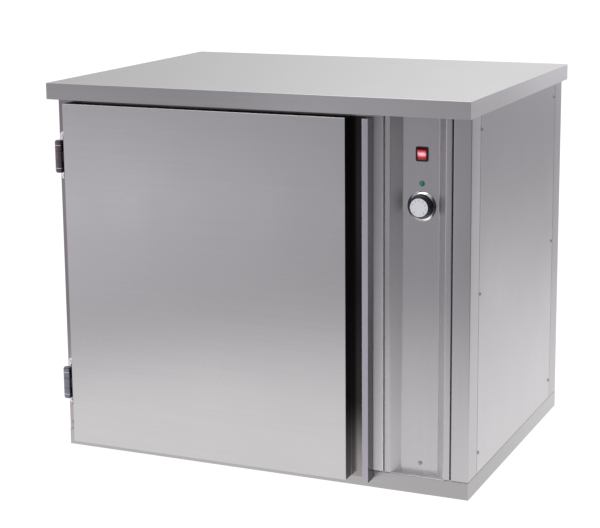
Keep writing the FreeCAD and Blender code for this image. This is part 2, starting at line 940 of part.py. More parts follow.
def capillary_bore():
    """The passage for the sensor through the wall between the chamber and the compartment."""
    y, z = capillary_point()
    start = CHAMBER_RIGHT - GAUGE
    radius = size("capillary_radius") + size("screw_clearance")
    return rod(start, y, z, "x", radius, COMPARTMENT_LEFT + GAUGE * 3 - start)


def sensor():
    """The capillary tube and its bulb, in the warm air behind the duct panel."""
    y, z = capillary_point()
    start_x = CONTROL_X - size("thermostat_size") / 4
    start_y = TROUGH + GAUGE + size("thermostat_depth")
    bulb_start = CHAMBER_RIGHT - size("bulb_length") - size("runner_width")
    tube = swept_tube(
        "capillary",
        [(start_x, start_y, z), (start_x, y, z), (bulb_start, y, z)],
        size("capillary_radius"),
        size("bulb_length") / 2,
    )
    bulb = rod(bulb_start, y, z, "x", size("bulb_radius"), size("bulb_length"))
    sub_part("thermostat_sensor", fuse([tube, bulb]))


def catch_span():
    right = DOOR_RIGHT - GAUGE
    return right - size("catch_width"), right


def catch_rise():
    half = size("catch_height") / 2
    middle = (DOOR_BOTTOM + DOOR_TOP) / 2
    return middle - half, middle + half


def catch():
    """The magnet behind its window in the post, and the keeper plate on the door."""
    span = catch_span()
    rise = catch_rise()
    magnet_front = -size("moving_gap")
    margin = length(4)
    magnet = box(span, (magnet_front, 12), rise)
    flange = box(
        (span[0] - margin, span[1] + margin),
        (GAUGE, GAUGE * 2),
        (rise[0] - margin, rise[1] + margin),
    )
    sub_part("door_catch", fuse([magnet, flange]))
    keeper_back = magnet_front - size("moving_gap")
    sub_part("door_strike", box(span, (DOOR_BACK, keeper_back), rise))


def door():
    """Outer pan, inner sheet, filling, seal and the full-height grip section."""
    inner_front = DOOR_BACK - GAUGE
    rise = (DOOR_BOTTOM, DOOR_TOP)
    wall = GRIP_LEFT - GAUGE
    fold = (DOOR_FRONT + GAUGE, inner_front)
    plates = [
        box((DOOR_LEFT, GRIP_LEFT), (DOOR_FRONT, DOOR_FRONT + GAUGE), rise),
        box((DOOR_LEFT, DOOR_LEFT + GAUGE), fold, rise),
        box((DOOR_LEFT, wall), fold, (DOOR_TOP - GAUGE, DOOR_TOP)),
        box((DOOR_LEFT, wall), fold, (DOOR_BOTTOM, DOOR_BOTTOM + GAUGE)),
    ]
    bores = [screw_bore(*point, "x") for point in door_screw_points()]
    sub_part("door_outer_skin", cut(fuse(plates), bores))
    sub_part("door_inner_skin", box((DOOR_LEFT, wall), (inner_front, DOOR_BACK), rise))
    sub_part(
        "door_insulation",
        box((DOOR_LEFT + GAUGE, wall), fold, (DOOR_BOTTOM + GAUGE, DOOR_TOP - GAUGE)),
    )

    lip_inner = GRIP_RIGHT + GAUGE
    lip_outer = DOOR_RIGHT - GAUGE
    section = [
        (wall, DOOR_FRONT + GAUGE),
        (GRIP_LEFT, DOOR_FRONT + GAUGE),
        (GRIP_LEFT, inner_front),
        (GRIP_RIGHT, inner_front),
        (GRIP_RIGHT, DOOR_FRONT),
        (DOOR_RIGHT, DOOR_FRONT),
        (DOOR_RIGHT, DOOR_BACK),
        (wall, DOOR_BACK),
    ]
    hollow = [
        (lip_inner, DOOR_FRONT + GAUGE),
        (lip_outer, DOOR_FRONT + GAUGE),
        (lip_outer, inner_front),
        (lip_inner, inner_front),
    ]
    rail = extruded("grip_section", [section, hollow], *rise)
    caps = [
        box((lip_inner, lip_outer), fold, (DOOR_TOP - GAUGE, DOOR_TOP)),
        box((lip_inner, lip_outer), fold, (DOOR_BOTTOM, DOOR_BOTTOM + GAUGE)),
    ]
    sub_part("door_grip", fuse([rail] + caps))

    width = size("gasket_width")
    margin = size("gasket_margin")
    left, right = CHAMBER_LEFT - margin, CHAMBER_RIGHT + margin
    bottom, top = CHAMBER_FLOOR - margin, CHAMBER_TOP + margin
    seal_back = -size("moving_gap") * 0.6
    seal = box((left - width, right + width), (DOOR_BACK, seal_back), (bottom - width, top + width))
    window = box((left, right), (DOOR_BACK - 1, seal_back + 1), (bottom, top))
    sub_part("door_gasket", cut(seal, [window]))


def door_screw_points():
    """Where the hinges' door leaves are screwed to the side of the door."""
    reach = size("door_leaf_length") / 2 - size("screw_head_radius") * 2
    y = DOOR_FRONT + size("door_thickness") / 2
    return [
        (DOOR_LEFT, y, height + offset)
        for height in HINGE_HEIGHTS.values()
        for offset in (-reach, reach)
    ]


def hinges():
    """Two lift-height surface hinges: frame leaf, door leaf and pin."""
    radius = size("barrel_radius")
    half = size("barrel_length") / 2
    knuckle = half / 3
    gap = size("moving_gap")
    thick = size("leaf_thickness")
    bore_radius = size("hinge_pin_radius") + size("running_clearance")
    cap_height = size("hinge_cap_height")
    ear = size("ear_width") / 2
    pins = []
    for name, centre in HINGE_HEIGHTS.items():
        bore = rod(HINGE_X, HINGE_Y, centre - half * 2, "z", bore_radius, half * 4)
        end = size("leaf_length") / 2 - ear
        pieces = [
            box((HINGE_X - ear, HINGE_X + ear), (-thick, 0), (centre - end, centre + end)),
            rod(HINGE_X, -thick, centre - end, "y", ear, thick),
            rod(HINGE_X, -thick, centre + end, "y", ear, thick),
        ]
        for low, high in (
            (centre - half, centre - knuckle - gap),
            (centre + knuckle + gap, centre + half),
        ):
            pieces.append(rod(HINGE_X, HINGE_Y, low, "z", radius, high - low))
            pieces.append(box((HINGE_X - ear, HINGE_X + ear), (HINGE_Y, -thick), (low, high)))
        bores = [screw_bore(*point, "y") for point in hinge_screw_points()]
        sub_part(f"hinge_{name}_frame_leaf", cut(fuse(pieces), [bore] + bores))

        leaf_half = size("door_leaf_length") / 2
        pieces = [
            rod(HINGE_X, HINGE_Y, centre - knuckle, "z", radius, knuckle * 2),
            box(
                (HINGE_X, DOOR_LEFT),
                (HINGE_Y - thick, HINGE_Y + thick),
                (centre - knuckle, centre + knuckle),
            ),
            box(
                (DOOR_LEFT - thick, DOOR_LEFT),
                (DOOR_FRONT + thick, DOOR_BACK - thick),
                (centre - leaf_half, centre + leaf_half),
            ),
        ]
        bores = [screw_bore(*point, "x") for point in door_screw_points()]
        sub_part(f"hinge_{name}_door_leaf", cut(fuse(pieces), [bore] + bores))

        cap = size("hinge_cap_radius")
        pins.append(fuse([
            rod(HINGE_X, HINGE_Y, centre - half, "z", size("hinge_pin_radius"), half * 2),
            rod(HINGE_X, HINGE_Y, centre - half - cap_height, "z", cap, cap_height),
            rod(HINGE_X, HINGE_Y, centre + half, "z", cap, cap_height),
        ]))
    sub_part("hinge_pins", group(pins))
    sub_part(
        "hinge_frame_screws",
        group([screw(*point, "y", 1, thick + GAUGE) for point in hinge_screw_points()]),
    )
    sub_part(
        "hinge_door_screws",
        group([
            screw(x - thick, y, z, "x", 1, thick + GAUGE) for x, y, z in door_screw_points()
        ]),
    )


def fan_bores():
    """Holes for the motor shaft, its four standoffs and the heating element's two legs."""
    start = CHAMBER_BACK - GAUGE
    run = INSULATION_BACK + GAUGE - start
    clear = size("screw_clearance")
    bores = [
        rod(CHAMBER_MIDDLE, start, FAN_HEIGHT, "y", size("motor_shaft_radius") * 2, run),
    ]
    bores += [rod(x, start, z, "y", standoff_radius() + clear, run) for x, z in standoff_points()]
    bores += [rod(x, start, z, "y", size("element_tube") + clear, run) for x, z in element_legs()]
    return bores


def standoff_radius():
    return length(5)


def standoff_points():
    reach = size("motor_plate") / 2 - standoff_radius() * 2
    return [
        (CHAMBER_MIDDLE + reach * across, FAN_HEIGHT + reach * up)
        for across in (-1, 1)
        for up in (-1, 1)
    ]


def element_legs():
    """The legs leave the ring at its lowest stretch, side by side."""
    offset = size("element_tube") * 4
    drop = size("element_radius") - size("element_tube") * 0.35
    return [(CHAMBER_MIDDLE + offset * side, FAN_HEIGHT - drop) for side in (-1, 1)]


def chamber():
    """The heated chamber: five liner sheets, and the insulation round them."""
    back = (CHAMBER_BACK, CHAMBER_BACK + GAUGE)
    outer_x = (CHAMBER_LEFT - GAUGE, CHAMBER_RIGHT + GAUGE)
    outer_z = (CHAMBER_FLOOR - GAUGE, CHAMBER_TOP + GAUGE)
    inner_x = (CHAMBER_LEFT, CHAMBER_RIGHT)
    deep = (GAUGE, CHAMBER_BACK)
    sub_part("chamber_left_wall", box((outer_x[0], CHAMBER_LEFT), deep, outer_z))
    right_wall = box((CHAMBER_RIGHT, outer_x[1]), deep, outer_z)
    sub_part("chamber_right_wall", cut(right_wall, [capillary_bore()]))
    sub_part("chamber_ceiling", box(inner_x, deep, (CHAMBER_TOP, outer_z[1])))
    sub_part("chamber_floor_sheet", box(inner_x, deep, (outer_z[0], CHAMBER_FLOOR)))
    sub_part("chamber_back_wall", cut(box(outer_x, back, outer_z), fan_bores()))

    front = size("insulation_setback")
    rail = size("rail_flange")
    full_rise = (BASE_TOP, BODY_TOP)
    slabs = [
        box((GAUGE * 2, outer_x[0]), (front, INSULATION_BACK), full_rise),
        cut(
            box((outer_x[1], COMPARTMENT_LEFT), (front, INSULATION_BACK), full_rise),
            [capillary_bore()],
        ),
        box(outer_x, (rail, back[1]), (BASE_TOP, outer_z[0])),
        box(outer_x, (rail, back[1]), (outer_z[1], BODY_TOP)),
        cut(box(outer_x, (back[1], INSULATION_BACK), full_rise), fan_bores()),
    ]
    sub_part("chamber_insulation", group(slabs))
    divider = box(
        (COMPARTMENT_LEFT, COMPARTMENT_LEFT + GAUGE), (GAUGE, BACK_INNER), full_rise
    )
    sub_part("compartment_wall", cut(divider, [capillary_bore()]))


def shelves():
    """Slotted shelves on angle runners, evenly spaced up the chamber."""
    clearance = size("shelf_clearance")
    front = size("shelf_setback")
    rear = DUCT_FRONT - clearance
    edge = size("shelf_edge")
    width = size("runner_width")
    bays = SIZES["shelf_count"] + 1
    span = (CHAMBER_LEFT + clearance, CHAMBER_RIGHT - clearance)
    third = (span[1] - span[0]) / 3
    margin = size("shelf_slot_pitch")
    rows = int((rear - front - margin * 3).value // size("shelf_slot_pitch").value) + 1
    runners = []
    for index, name in enumerate(("lower", "upper"), start=1):
        underside = CHAMBER_FLOOR + (CHAMBER_TOP - CHAMBER_FLOOR) * index / bays
        columns = [
            (span[0] + third * place_in_row + margin, span[0] + third * (place_in_row + 1) - margin)
            for place_in_row in range(3)
        ]
        sheet_plate = slotted_plate(
            f"shelf_{name}_sheet",
            "XY_Plane",
            span,
            (front, rear),
            (0, 0, underside),
            [
                (
                    columns,
                    front + margin * 1.5,
                    size("shelf_slot_width"),
                    size("shelf_slot_pitch"),
                    rows,
                )
            ],
        )
        inner = (span[0] + width, span[1] - width)
        lips = [
            box(inner, (front, front + GAUGE), (underside - edge, underside)),
            box(inner, (rear - GAUGE, rear), (underside - edge, underside)),
        ]
        sub_part(f"shelf_{name}", fuse([sheet_plate] + lips))
        run = (front, rear)
        for wall, reach in ((CHAMBER_LEFT, width), (CHAMBER_RIGHT, -width)):
            inward = GAUGE if reach is width else -GAUGE
            flat = sorted_span(wall, wall + reach)
            upright = sorted_span(wall, wall + inward)
            runners.append(
                fuse([
                    box(flat, run, (underside - GAUGE, underside)),
                    box(upright, run, (underside - edge, underside)),
                ])
            )
    sub_part("shelf_runners", group(runners))


def sorted_span(first, second):
    return (first, second) if first.value < second.value else (second, first)


def air_system():
    """Duct panel, heating ring, and the impeller on the shaft of the motor behind the wall."""
    inset = size("outlet_inset")
    outlet = size("outlet_width")
    left = (CHAMBER_LEFT + inset, CHAMBER_LEFT + inset + outlet)
    right = (CHAMBER_RIGHT - inset - outlet, CHAMBER_RIGHT - inset)
    half_intake = size("intake_width") / 2
    intake = (CHAMBER_MIDDLE - half_intake, CHAMBER_MIDDLE + half_intake)
    slot = size("duct_slot")
    margin = size("duct_margin")
    pitch = size("outlet_pitch")
    outlet_rows = int((CHAMBER_TOP - CHAMBER_FLOOR - margin * 2).value // pitch.value) + 1
    intake_rows = 8
    intake_pitch = size("intake_pitch")
    intake_bottom = FAN_HEIGHT - (intake_pitch * (intake_rows - 1) + slot) / 2
    slots = [
        ([left, right], CHAMBER_FLOOR + margin, slot, pitch, outlet_rows),
        ([intake], intake_bottom, slot, intake_pitch, intake_rows),
    ]
    panel = slotted_plate(
        "duct_sheet",
        "XZ_Plane",
        (CHAMBER_LEFT, CHAMBER_RIGHT),
        (CHAMBER_FLOOR, CHAMBER_TOP),
        (0, DUCT_FRONT + GAUGE, 0),
        slots,
    )
    sub_part("air_duct_panel", panel)

    middle = (DUCT_FRONT + GAUGE + CHAMBER_BACK) / 2
    ring = doc.addObject("Part::Torus", "Ring")
    bind(ring, "Radius1", size("element_radius"))
    bind(ring, "Radius2", size("element_tube"))
    place(ring, CHAMBER_MIDDLE, middle, FAN_HEIGHT, ROTATIONS["y"])
    leg_run = INSULATION_BACK + size("element_tube") * 2 - middle
    legs = [rod(x, middle, z, "y", size("element_tube"), leg_run) for x, z in element_legs()]
    sub_part("heating_element", fuse([ring] + legs))

    plate_half = size("motor_plate") / 2
    plate_front = INSULATION_BACK
    motor_end = plate_front + size("motor_length")
    pieces = [
        box(
            (CHAMBER_MIDDLE - plate_half, CHAMBER_MIDDLE + plate_half),
            (plate_front, plate_front + GAUGE),
            (FAN_HEIGHT - plate_half, FAN_HEIGHT + plate_half),
        ),
        rod(CHAMBER_MIDDLE, plate_front, FAN_HEIGHT, "y", size("motor_radius"), size("motor_length")),
    ]
    standoff_run = plate_front - CHAMBER_BACK - GAUGE
    pieces += [
        rod(x, CHAMBER_BACK + GAUGE, z, "y", standoff_radius(), standoff_run)
        for x, z in standoff_points()
    ]
    shaft = size("motor_shaft_radius")
    socket = rod(
        CHAMBER_MIDDLE,
        plate_front - GAUGE,
        FAN_HEIGHT,
        "y",
        shaft + size("running_clearance"),
        motor_end - plate_front - GAUGE * 2,
    )
    sub_part("fan_motor", cut(fuse(pieces), [socket]))

    radius = size("impeller_radius")
    depth = size("impeller_depth")
    hub = shaft * 3
    back_face = CHAMBER_BACK - size("impeller_setback")
    front_face = back_face - depth
    disc = rod(CHAMBER_MIDDLE, back_face - GAUGE, FAN_HEIGHT, "y", radius, GAUGE)
    boss = rod(CHAMBER_MIDDLE, front_face + depth / 3, FAN_HEIGHT, "y", hub, depth * 2 / 3)
    spindle = rod(
        CHAMBER_MIDDLE,
        back_face - GAUGE,
        FAN_HEIGHT,
        "y",
        shaft,
        motor_end - GAUGE * 3 - back_face,
    )
    body = new_body("blades")
    sketch = new_sketch(body, "XZ_Plane")
    blade_inner = radius * 0.55
    half_blade = GAUGE / 2
    draw_loop(
        sketch,
        [
            (blade_inner, -half_blade),
            (radius - GAUGE, -half_blade),
            (radius - GAUGE, half_blade),
            (blade_inner, half_blade),
        ],
    )
    pad = body.newObject("PartDesign::Pad", "Pad")
    pad.Profile = sketch
    bind(pad, "Length", depth)
    axis = next(item for item in body.Origin.OriginFeatures if item.Role == "Y_Axis")
    around = body.newObject("PartDesign::PolarPattern", "Blades")
    around.Originals = [pad]
    around.Axis = (axis, [""])
    around.Angle = 360
    bind(around, "Occurrences", size("blade_count"))
    body.Tip = around
    place(body, CHAMBER_MIDDLE, back_face, FAN_HEIGHT)
    sub_part("fan_impeller", fuse([disc, boss, spindle, body]))


def electrics():
    """Cable gland, terminal block and the loom that runs to the switch."""
    radius = size("gland_radius")
    neck = radius * 0.7
    height = size("gland_height")
    inner_end = BACK_INNER - size("gland_thread")
    nut_front = BACK_INNER - size("gland_nut")
    outer_end = DEPTH + size("gland_reach")
    outer = rod(CONTROL_X, DEPTH, height, "y", radius, size("gland_reach"))
    through = rod(CONTROL_X, inner_end, height, "y", neck, DEPTH - inner_end)
    nut = rod(CONTROL_X, nut_front, height, "y", radius, BACK_INNER - nut_front)
    bore_start = inner_end - radius
    bore_run = outer_end + radius - bore_start
    bore = rod(CONTROL_X, bore_start, height, "y", size("harness_radius"), bore_run)
    sub_part("cable_gland", cut(fuse([outer, through, nut]), [bore]))

    half = size("terminal_length") / 2
    block_rear = BACK_INNER - size("terminal_setback")
    depth = size("terminal_depth")
    block_front = block_rear - depth
    block_top = BASE_TOP + size("terminal_height")
    block = box((CONTROL_X - half, CONTROL_X + half), (block_front, block_rear), (BASE_TOP, block_top))
    pads = [
        box(
            (CONTROL_X + half * (step - 0.6) / 3, CONTROL_X + half * (step + 0.6) / 3),
            (block_front + depth / 6, block_rear - depth / 6),
            (block_top, block_top + size("terminal_height") / 3),
        )
        for step in (-2, 0, 2)
    ]
    sub_part("terminal_block", fuse([block] + pads))

    loom_z = (BASE_TOP + block_top) / 2
    switch_rear = TROUGH + size("switch_depth")
    reach = size("switch_depth") * 3
    rise = SWITCH_HEIGHT - loom_z
    run = block_front - switch_rear
    loom = swept_tube(
        "wiring_loom",
        [
            (CONTROL_X, block_front, loom_z),
            (CONTROL_X, block_front - run * 0.55, loom_z),
            (CONTROL_X, switch_rear + reach * 1.5, loom_z + rise * 0.6),
            (CONTROL_X, switch_rear + reach, SWITCH_HEIGHT),
            (CONTROL_X, switch_rear, SWITCH_HEIGHT),
        ],
        size("harness_radius"),
        size("harness_radius") * 24,
    )
    sub_part("wiring_loom", loom)


plinth()
base_panel()
frame()
outer_panels()
worktop()
control_panel()
rocker_switch()
lamp()
thermostat()
sensor()
catch()
door()
hinges()
chamber()
shelves()
air_system()
electrics()
doc.recompute()

failed = [item.Label for item in doc.Objects if {"Invalid", "Error"} & set(item.State)]
for made in sub_parts:
    if made.Shape.isNull() or not made.Shape.isValid() or not made.Shape.Solids:
        failed.append(made.Label)
if failed:
    raise RuntimeError(f"these objects failed: {failed}")

os.makedirs("parts", exist_ok=True)
for made in sub_parts:
    made.Shape.exportStep(f"parts/{made.Label}.step")
print(f"{len(sub_parts)} sub-parts written")
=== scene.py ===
"""Looks of the blanket warming cabinet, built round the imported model.

Lengths are in metres. The door faces -Y and the floor lies at z = 0.
"""
import math

import bmesh
import bpy
from mathutils import Matrix, Vector


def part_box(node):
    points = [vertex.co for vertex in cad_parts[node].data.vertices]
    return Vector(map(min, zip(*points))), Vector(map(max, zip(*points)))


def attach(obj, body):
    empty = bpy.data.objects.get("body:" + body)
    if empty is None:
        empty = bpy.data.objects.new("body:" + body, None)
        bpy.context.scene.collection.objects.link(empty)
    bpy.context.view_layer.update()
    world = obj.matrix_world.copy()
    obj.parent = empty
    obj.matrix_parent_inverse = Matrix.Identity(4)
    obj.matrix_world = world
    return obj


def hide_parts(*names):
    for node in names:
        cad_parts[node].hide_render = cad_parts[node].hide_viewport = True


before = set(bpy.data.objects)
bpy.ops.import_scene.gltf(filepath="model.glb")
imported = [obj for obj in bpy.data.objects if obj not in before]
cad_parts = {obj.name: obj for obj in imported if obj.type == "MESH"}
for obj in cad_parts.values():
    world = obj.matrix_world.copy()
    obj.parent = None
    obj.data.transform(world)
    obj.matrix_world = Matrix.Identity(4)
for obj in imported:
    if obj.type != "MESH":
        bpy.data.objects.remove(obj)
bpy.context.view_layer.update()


# Camera: a long lens at chest height, to the right of the door and turned slightly down, as for
# a catalogue. The lens is shifted a little, which keeps the cabinet in the middle of the frame.

CAMERA_PLACE = Vector((1.4725, -3.4623, 1.2631))
YAW, PITCH, ROLL = 0.41326, 0.19543, -0.00889
ahead = Vector((
    -math.sin(YAW) * math.cos(PITCH), math.cos(YAW) * math.cos(PITCH), -math.sin(PITCH)
))
level = Vector((math.cos(YAW), math.sin(YAW), 0.0))
above = level.cross(ahead)
right = level * math.cos(ROLL) + above * math.sin(ROLL)
upward = above * math.cos(ROLL) - level * math.sin(ROLL)

lens = bpy.data.cameras.new("catalogue_lens")
lens.sensor_width = 36.0
lens.lens = 97.93
lens.shift_y = -0.0833
lens.clip_start, lens.clip_end = 0.05, 400.0
camera = bpy.data.objects.new("catalogue_camera", lens)
camera_turn = Matrix((right, upward, -ahead)).transposed()
camera.matrix_world = Matrix.Translation(CAMERA_PLACE) @ camera_turn.to_4x4()
bpy.context.scene.collection.objects.link(camera)
bpy.context.scene.camera = camera
bpy.context.scene.view_settings.view_transform = "Standard"


# Studio: a plain pale floor that runs to the horizon, under a soft sky and two soft boxes. Steel
# mirrors a pool of light on the floor, bright round the cabinet and dimmer in front and to the
# right, so that upright sheets darken upwards. The sky is dimmer in front too.

MM = 0.001


class Value:
    """A shader socket in an expression: each operator adds the Math node that works it out."""

    def __init__(self, finish, socket):
        self.finish, self.socket = finish, socket

    def worked(self, operation, first, second=0.0):
        return self.finish.add("Math", {"operation": operation}, {0: first, 1: second})

    def __add__(self, other):
        return self.worked("ADD", self, other)

    def __sub__(self, other):
        return self.worked("SUBTRACT", self, other)

    def __rsub__(self, other):
        return self.worked("SUBTRACT", other, self)

    def __mul__(self, other):
        return self.worked("MULTIPLY", self, other)

    def __truediv__(self, other):
        return self.worked("DIVIDE", self, other)

    def __pow__(self, other):
        return self.worked("POWER", self, other)

    __radd__ = __add__
    __rmul__ = __mul__


class Finish:
    """The shader nodes of one surface finish, or of the sky."""

    def __init__(self, name, owner=None, shader="Principled BSDF"):
        self.material = owner or bpy.data.materials.new(name)
        self.material.use_nodes = True
        self.tree = self.material.node_tree
        self.shader = self.tree.nodes[shader]

    def add(self, kind, settings=(), sockets=(), output=0):
        """Add a node: its settings first, then the values or links of its sockets."""
        node = self.tree.nodes.new("ShaderNode" + kind)
        for key, value in dict(settings).items():
            setattr(node, key, value)
        for key, value in dict(sockets).items():
            self.feed(node.inputs[key], value)
        return Value(self, node.outputs[output])

    def feed(self, socket, value):
        if isinstance(value, Value):
            self.tree.links.new(value.socket, socket)
        else:
            socket.default_value = value

    def surface(self, sockets):
        """Feed the main shader's sockets."""
        for key, value in sockets.items():
            self.feed(self.shader.inputs[key], value)
        return self

    def place(self, scale=1, location=(0, 0, 0)):
        """Object coordinates, in metres, scaled alike or by axis and then moved."""
        scales = scale if isinstance(scale, list) else [scale] * 3
        origin = self.add("TexCoord", output="Object")
        return self.add("Mapping", {}, {"Vector": origin, "Location": location, "Scale": scales})

    def noise(self, scale, detail=2.0, location=(0, 0, 0)):
        sockets = {"Vector": self.place(scale, location), "Scale": 1.0, "Detail": detail}
        return self.add("TexNoise", {}, sockets)

    def cells(self, scale, output="Distance"):
        """Irregular cells: how far the middle of each one is, or a colour for each."""
        return self.add("TexVoronoi", {}, {"Vector": self.place(scale), "Scale": 1.0}, output)

    def clamped(self, value, low, high, to_low=0.0, to_high=1.0):
        """A smooth step from to_low to to_high as the value goes from low to high."""
        sockets = {"Value": value, 1: low, 2: high, 3: to_low, 4: to_high}
        return self.add("MapRange", {"interpolation_type": "SMOOTHSTEP"}, sockets)

    def mixed(self, share, first, second):
        """A colour between two, by a share from 0 to 1."""
        sockets = {0: share, 6: first, 7: second}
        return self.add("Mix", {"data_type": "RGBA"}, sockets, output=2)

    def bumped(self, height, strength, distance):
        sockets = {"Height": height, "Strength": strength, "Distance": distance}
        return self.add("Bump", {}, sockets, output="Normal")

    def parts_of(self, vector):
        """The x, y and z of a vector socket."""
        node = self.add("SeparateXYZ", {}, {0: vector}).socket.node
        return [Value(self, socket) for socket in node.outputs]

    def along(self, axis):
        """The object coordinate along one axis, in metres."""
        return self.parts_of(self.place())["xyz".index(axis)]

    def around(self, centre):
        """The x, y and z, in millimetres, from a point of the object."""
        return self.parts_of(self.place(1 / MM, [-part / MM for part in centre]))


FLOOR_REACH = 60.0


def laid_out(finish, colour, strength, height):
    """A wide level sheet of the studio that gives off light and is no part of the cabinet."""
    finish.surface({
        "Base Color": (0.07, 0.07, 0.07, 1),
        "Roughness": 0.9,
        "Emission Color": colour,
        "Emission Strength": strength,
    })
    shape = bmesh.new()
    bmesh.ops.create_grid(shape, x_segments=2, y_segments=2, size=FLOOR_REACH)
    bmesh.ops.translate(shape, verts=shape.verts, vec=(0, 0, height))
    mesh = bpy.data.meshes.new(finish.material.name)
    shape.to_mesh(mesh)
    shape.free()
    mesh.materials.append(finish.material)
    sheet = bpy.data.objects.new(finish.material.name, mesh)
    bpy.context.scene.collection.objects.link(sheet)
    return sheet


floor = laid_out(Finish("studio_floor"), (1, 1, 1, 1), 0.99, -0.3 * MM)
floor.visible_glossy = floor.visible_diffuse = False

# The pool is set out from a point on the floor in front: depth runs from there towards the
# cabinet, and aside to its right. A wedge of it is bright, and it is a little lit again far off.
POOL_START = Vector((1.4725, -3.4623, 0.0))
POOL_AHEAD, POOL_RIGHT = Vector((-0.4016, 0.9158, 0.0)), Vector((0.9158, 0.4016, 0.0))
pool = Finish("studio_light_pool")
x, y, _ = pool.parts_of(pool.place(location=-POOL_START))
depth = x * POOL_AHEAD.x + y * POOL_AHEAD.y
aside = x * POOL_RIGHT.x + y * POOL_RIGHT.y
slant = (aside * aside) ** 0.5 / depth.worked("MAXIMUM", depth, 0.5)
lit = (1 - pool.clamped(slant, 0.19, 0.62)) * pool.clamped(depth, 1.38, 3.18)
dim = pool.clamped(aside, -3.0, -0.7, 0.86, 0.25) * pool.clamped(depth, -0.8, 1.6, 0.36, 1.0)
far = pool.clamped(depth, 8.2, 10.4, 0.0, 0.30)
glow = lit * 0.95 + (1 - lit) * dim + far
hue = pool.mixed(lit, (1.0, 0.975, 1.035, 1), (1.0, 0.995, 0.985, 1))
pool_sheet = laid_out(pool, pool.mixed(glow, (0, 0, 0, 1), hue), 1.0, -0.6 * MM)
pool_sheet.visible_camera = False

world = bpy.data.worlds.new("studio_sky")
world.use_nodes = True
bpy.context.scene.world = world
sky = Finish("studio_sky", world, "Background")
x, y, z = sky.parts_of(sky.add("TexCoord", output="Generated"))
backwards = sky.clamped(y, -0.5, 0.8)
rightwards = sky.clamped(x, -0.60, -0.12, 0.48, 1.22)
ahead_light = sky.clamped(z, 0.02, 0.9, 0.32, 0.95) * sky.clamped(x, -0.8, 0.5, 1.15, 0.7)
overhead = sky.clamped(z, 0.42, 0.85, 1.0, 0.72)
sky_light = (backwards * rightwards + (1 - backwards) * ahead_light) * overhead
sky.surface({"Color": sky.mixed(sky_light, (0, 0, 0, 1), (1, 1, 1, 1)), "Strength": 1.0})

for name, place, aim, width, watts in (
    ("soft_box_above", (-0.6, -0.6, 3.4), (0, 0, 0.4), 3.4, 60.0),
    ("soft_box_left", (-2.8, -2.4, 2.2), (-0.1, -0.3, 0.5), 2.8, 24.0),
):
    lamp_data = bpy.data.lights.new(name, "AREA")
    lamp_data.shape, lamp_data.size, lamp_data.energy = "SQUARE", width, watts
    soft_box = bpy.data.objects.new(name, lamp_data)
    soft_box.location = place
    soft_box.rotation_euler = (Vector(place) - Vector(aim)).to_track_quat("Z", "Y").to_euler()
    soft_box.visible_glossy = name == "soft_box_above"
    bpy.context.scene.collection.objects.link(soft_box)


# Plinth: four rails of brushed stainless steel, folded to channels and butted at the corners.
# They stand straight on the floor, with the grain running along each rail.

def shown(name, shape, finish, body, replaced=(), smooth=30):
    """Make a bmesh a piece that rides on a body and takes its finish from a slot."""
    mesh = bpy.data.meshes.new(name)
    shape.to_mesh(mesh)
    shape.free()
    mesh.materials.append(finish.material)
    mesh.polygons.foreach_set("use_smooth", [True] * len(mesh.polygons))
    mesh.set_sharp_from_angle(angle=math.radians(smooth))
    piece = bpy.data.objects.new(name, mesh)
    bpy.context.scene.collection.objects.link(piece)
    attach(piece, body)
    if replaced:
        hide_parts(*replaced)
    return piece


def solid_of(node):
    """A merged copy of a CAD node's solid, with its flat faces whole."""
    shape = bmesh.new()
    shape.from_mesh(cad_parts[node].data)
    bmesh.ops.remove_doubles(shape, verts=shape.verts, dist=0.002 * MM)
    bmesh.ops.dissolve_limit(
        shape, angle_limit=math.radians(0.5), verts=shape.verts, edges=shape.edges
    )
    return shape


def width_of(face):
    """About how wide a long face is."""
    return 2 * face.calc_area() / face.calc_perimeter()


def rounded(shape, radius, segments=3, widest_cut=0.0, turn=35):
    """Round the corners that turn by more than so many degrees.

    Corners of faces that are narrower than widest_cut stay sharp.
    """
    corners = [
        edge for edge in shape.edges
        if len(edge.link_faces) == 2
        and edge.calc_face_angle(0.0) > math.radians(turn)
        and min(width_of(face) for face in edge.link_faces) > widest_cut
    ]
    bmesh.ops.bevel(
        shape, geom=corners, offset=radius, offset_type="OFFSET", segments=segments,
        profile=0.5, affect="EDGES", material=-1, clamp_overlap=True,
    )
    return shape


def evened(piece):
    """Keep the shading of wide flat faces level up to their rounded folds."""
    normals = piece.modifiers.new("evened", "WEIGHTED_NORMAL")
    normals.keep_sharp = True
    return piece


WIDEST_CUT_EDGE = 1.9 * MM


def folded(node, finish, body="cabinet", radius=2.0 * MM):
    """A node's sheet metal with its folds rounded; its cut edges stay square."""
    shape = rounded(solid_of(node), radius, widest_cut=WIDEST_CUT_EDGE)
    return evened(shown(node + "_sheet", shape, finish, body, [node]))


def partly(piece, finish, chosen):
    """Give the faces that chosen(centre, normal) picks a second finish."""
    piece.data.materials.append(finish.material)
    index = len(piece.data.materials) - 1
    for face in piece.data.polygons:
        if chosen(face.center, face.normal):
            face.material_index = index
    return piece


def drawn_out(grain, along, across):
    """The scales of a pattern that is stretched along the grain's axis."""
    return [along if axis == grain else across for axis in "xyz"]


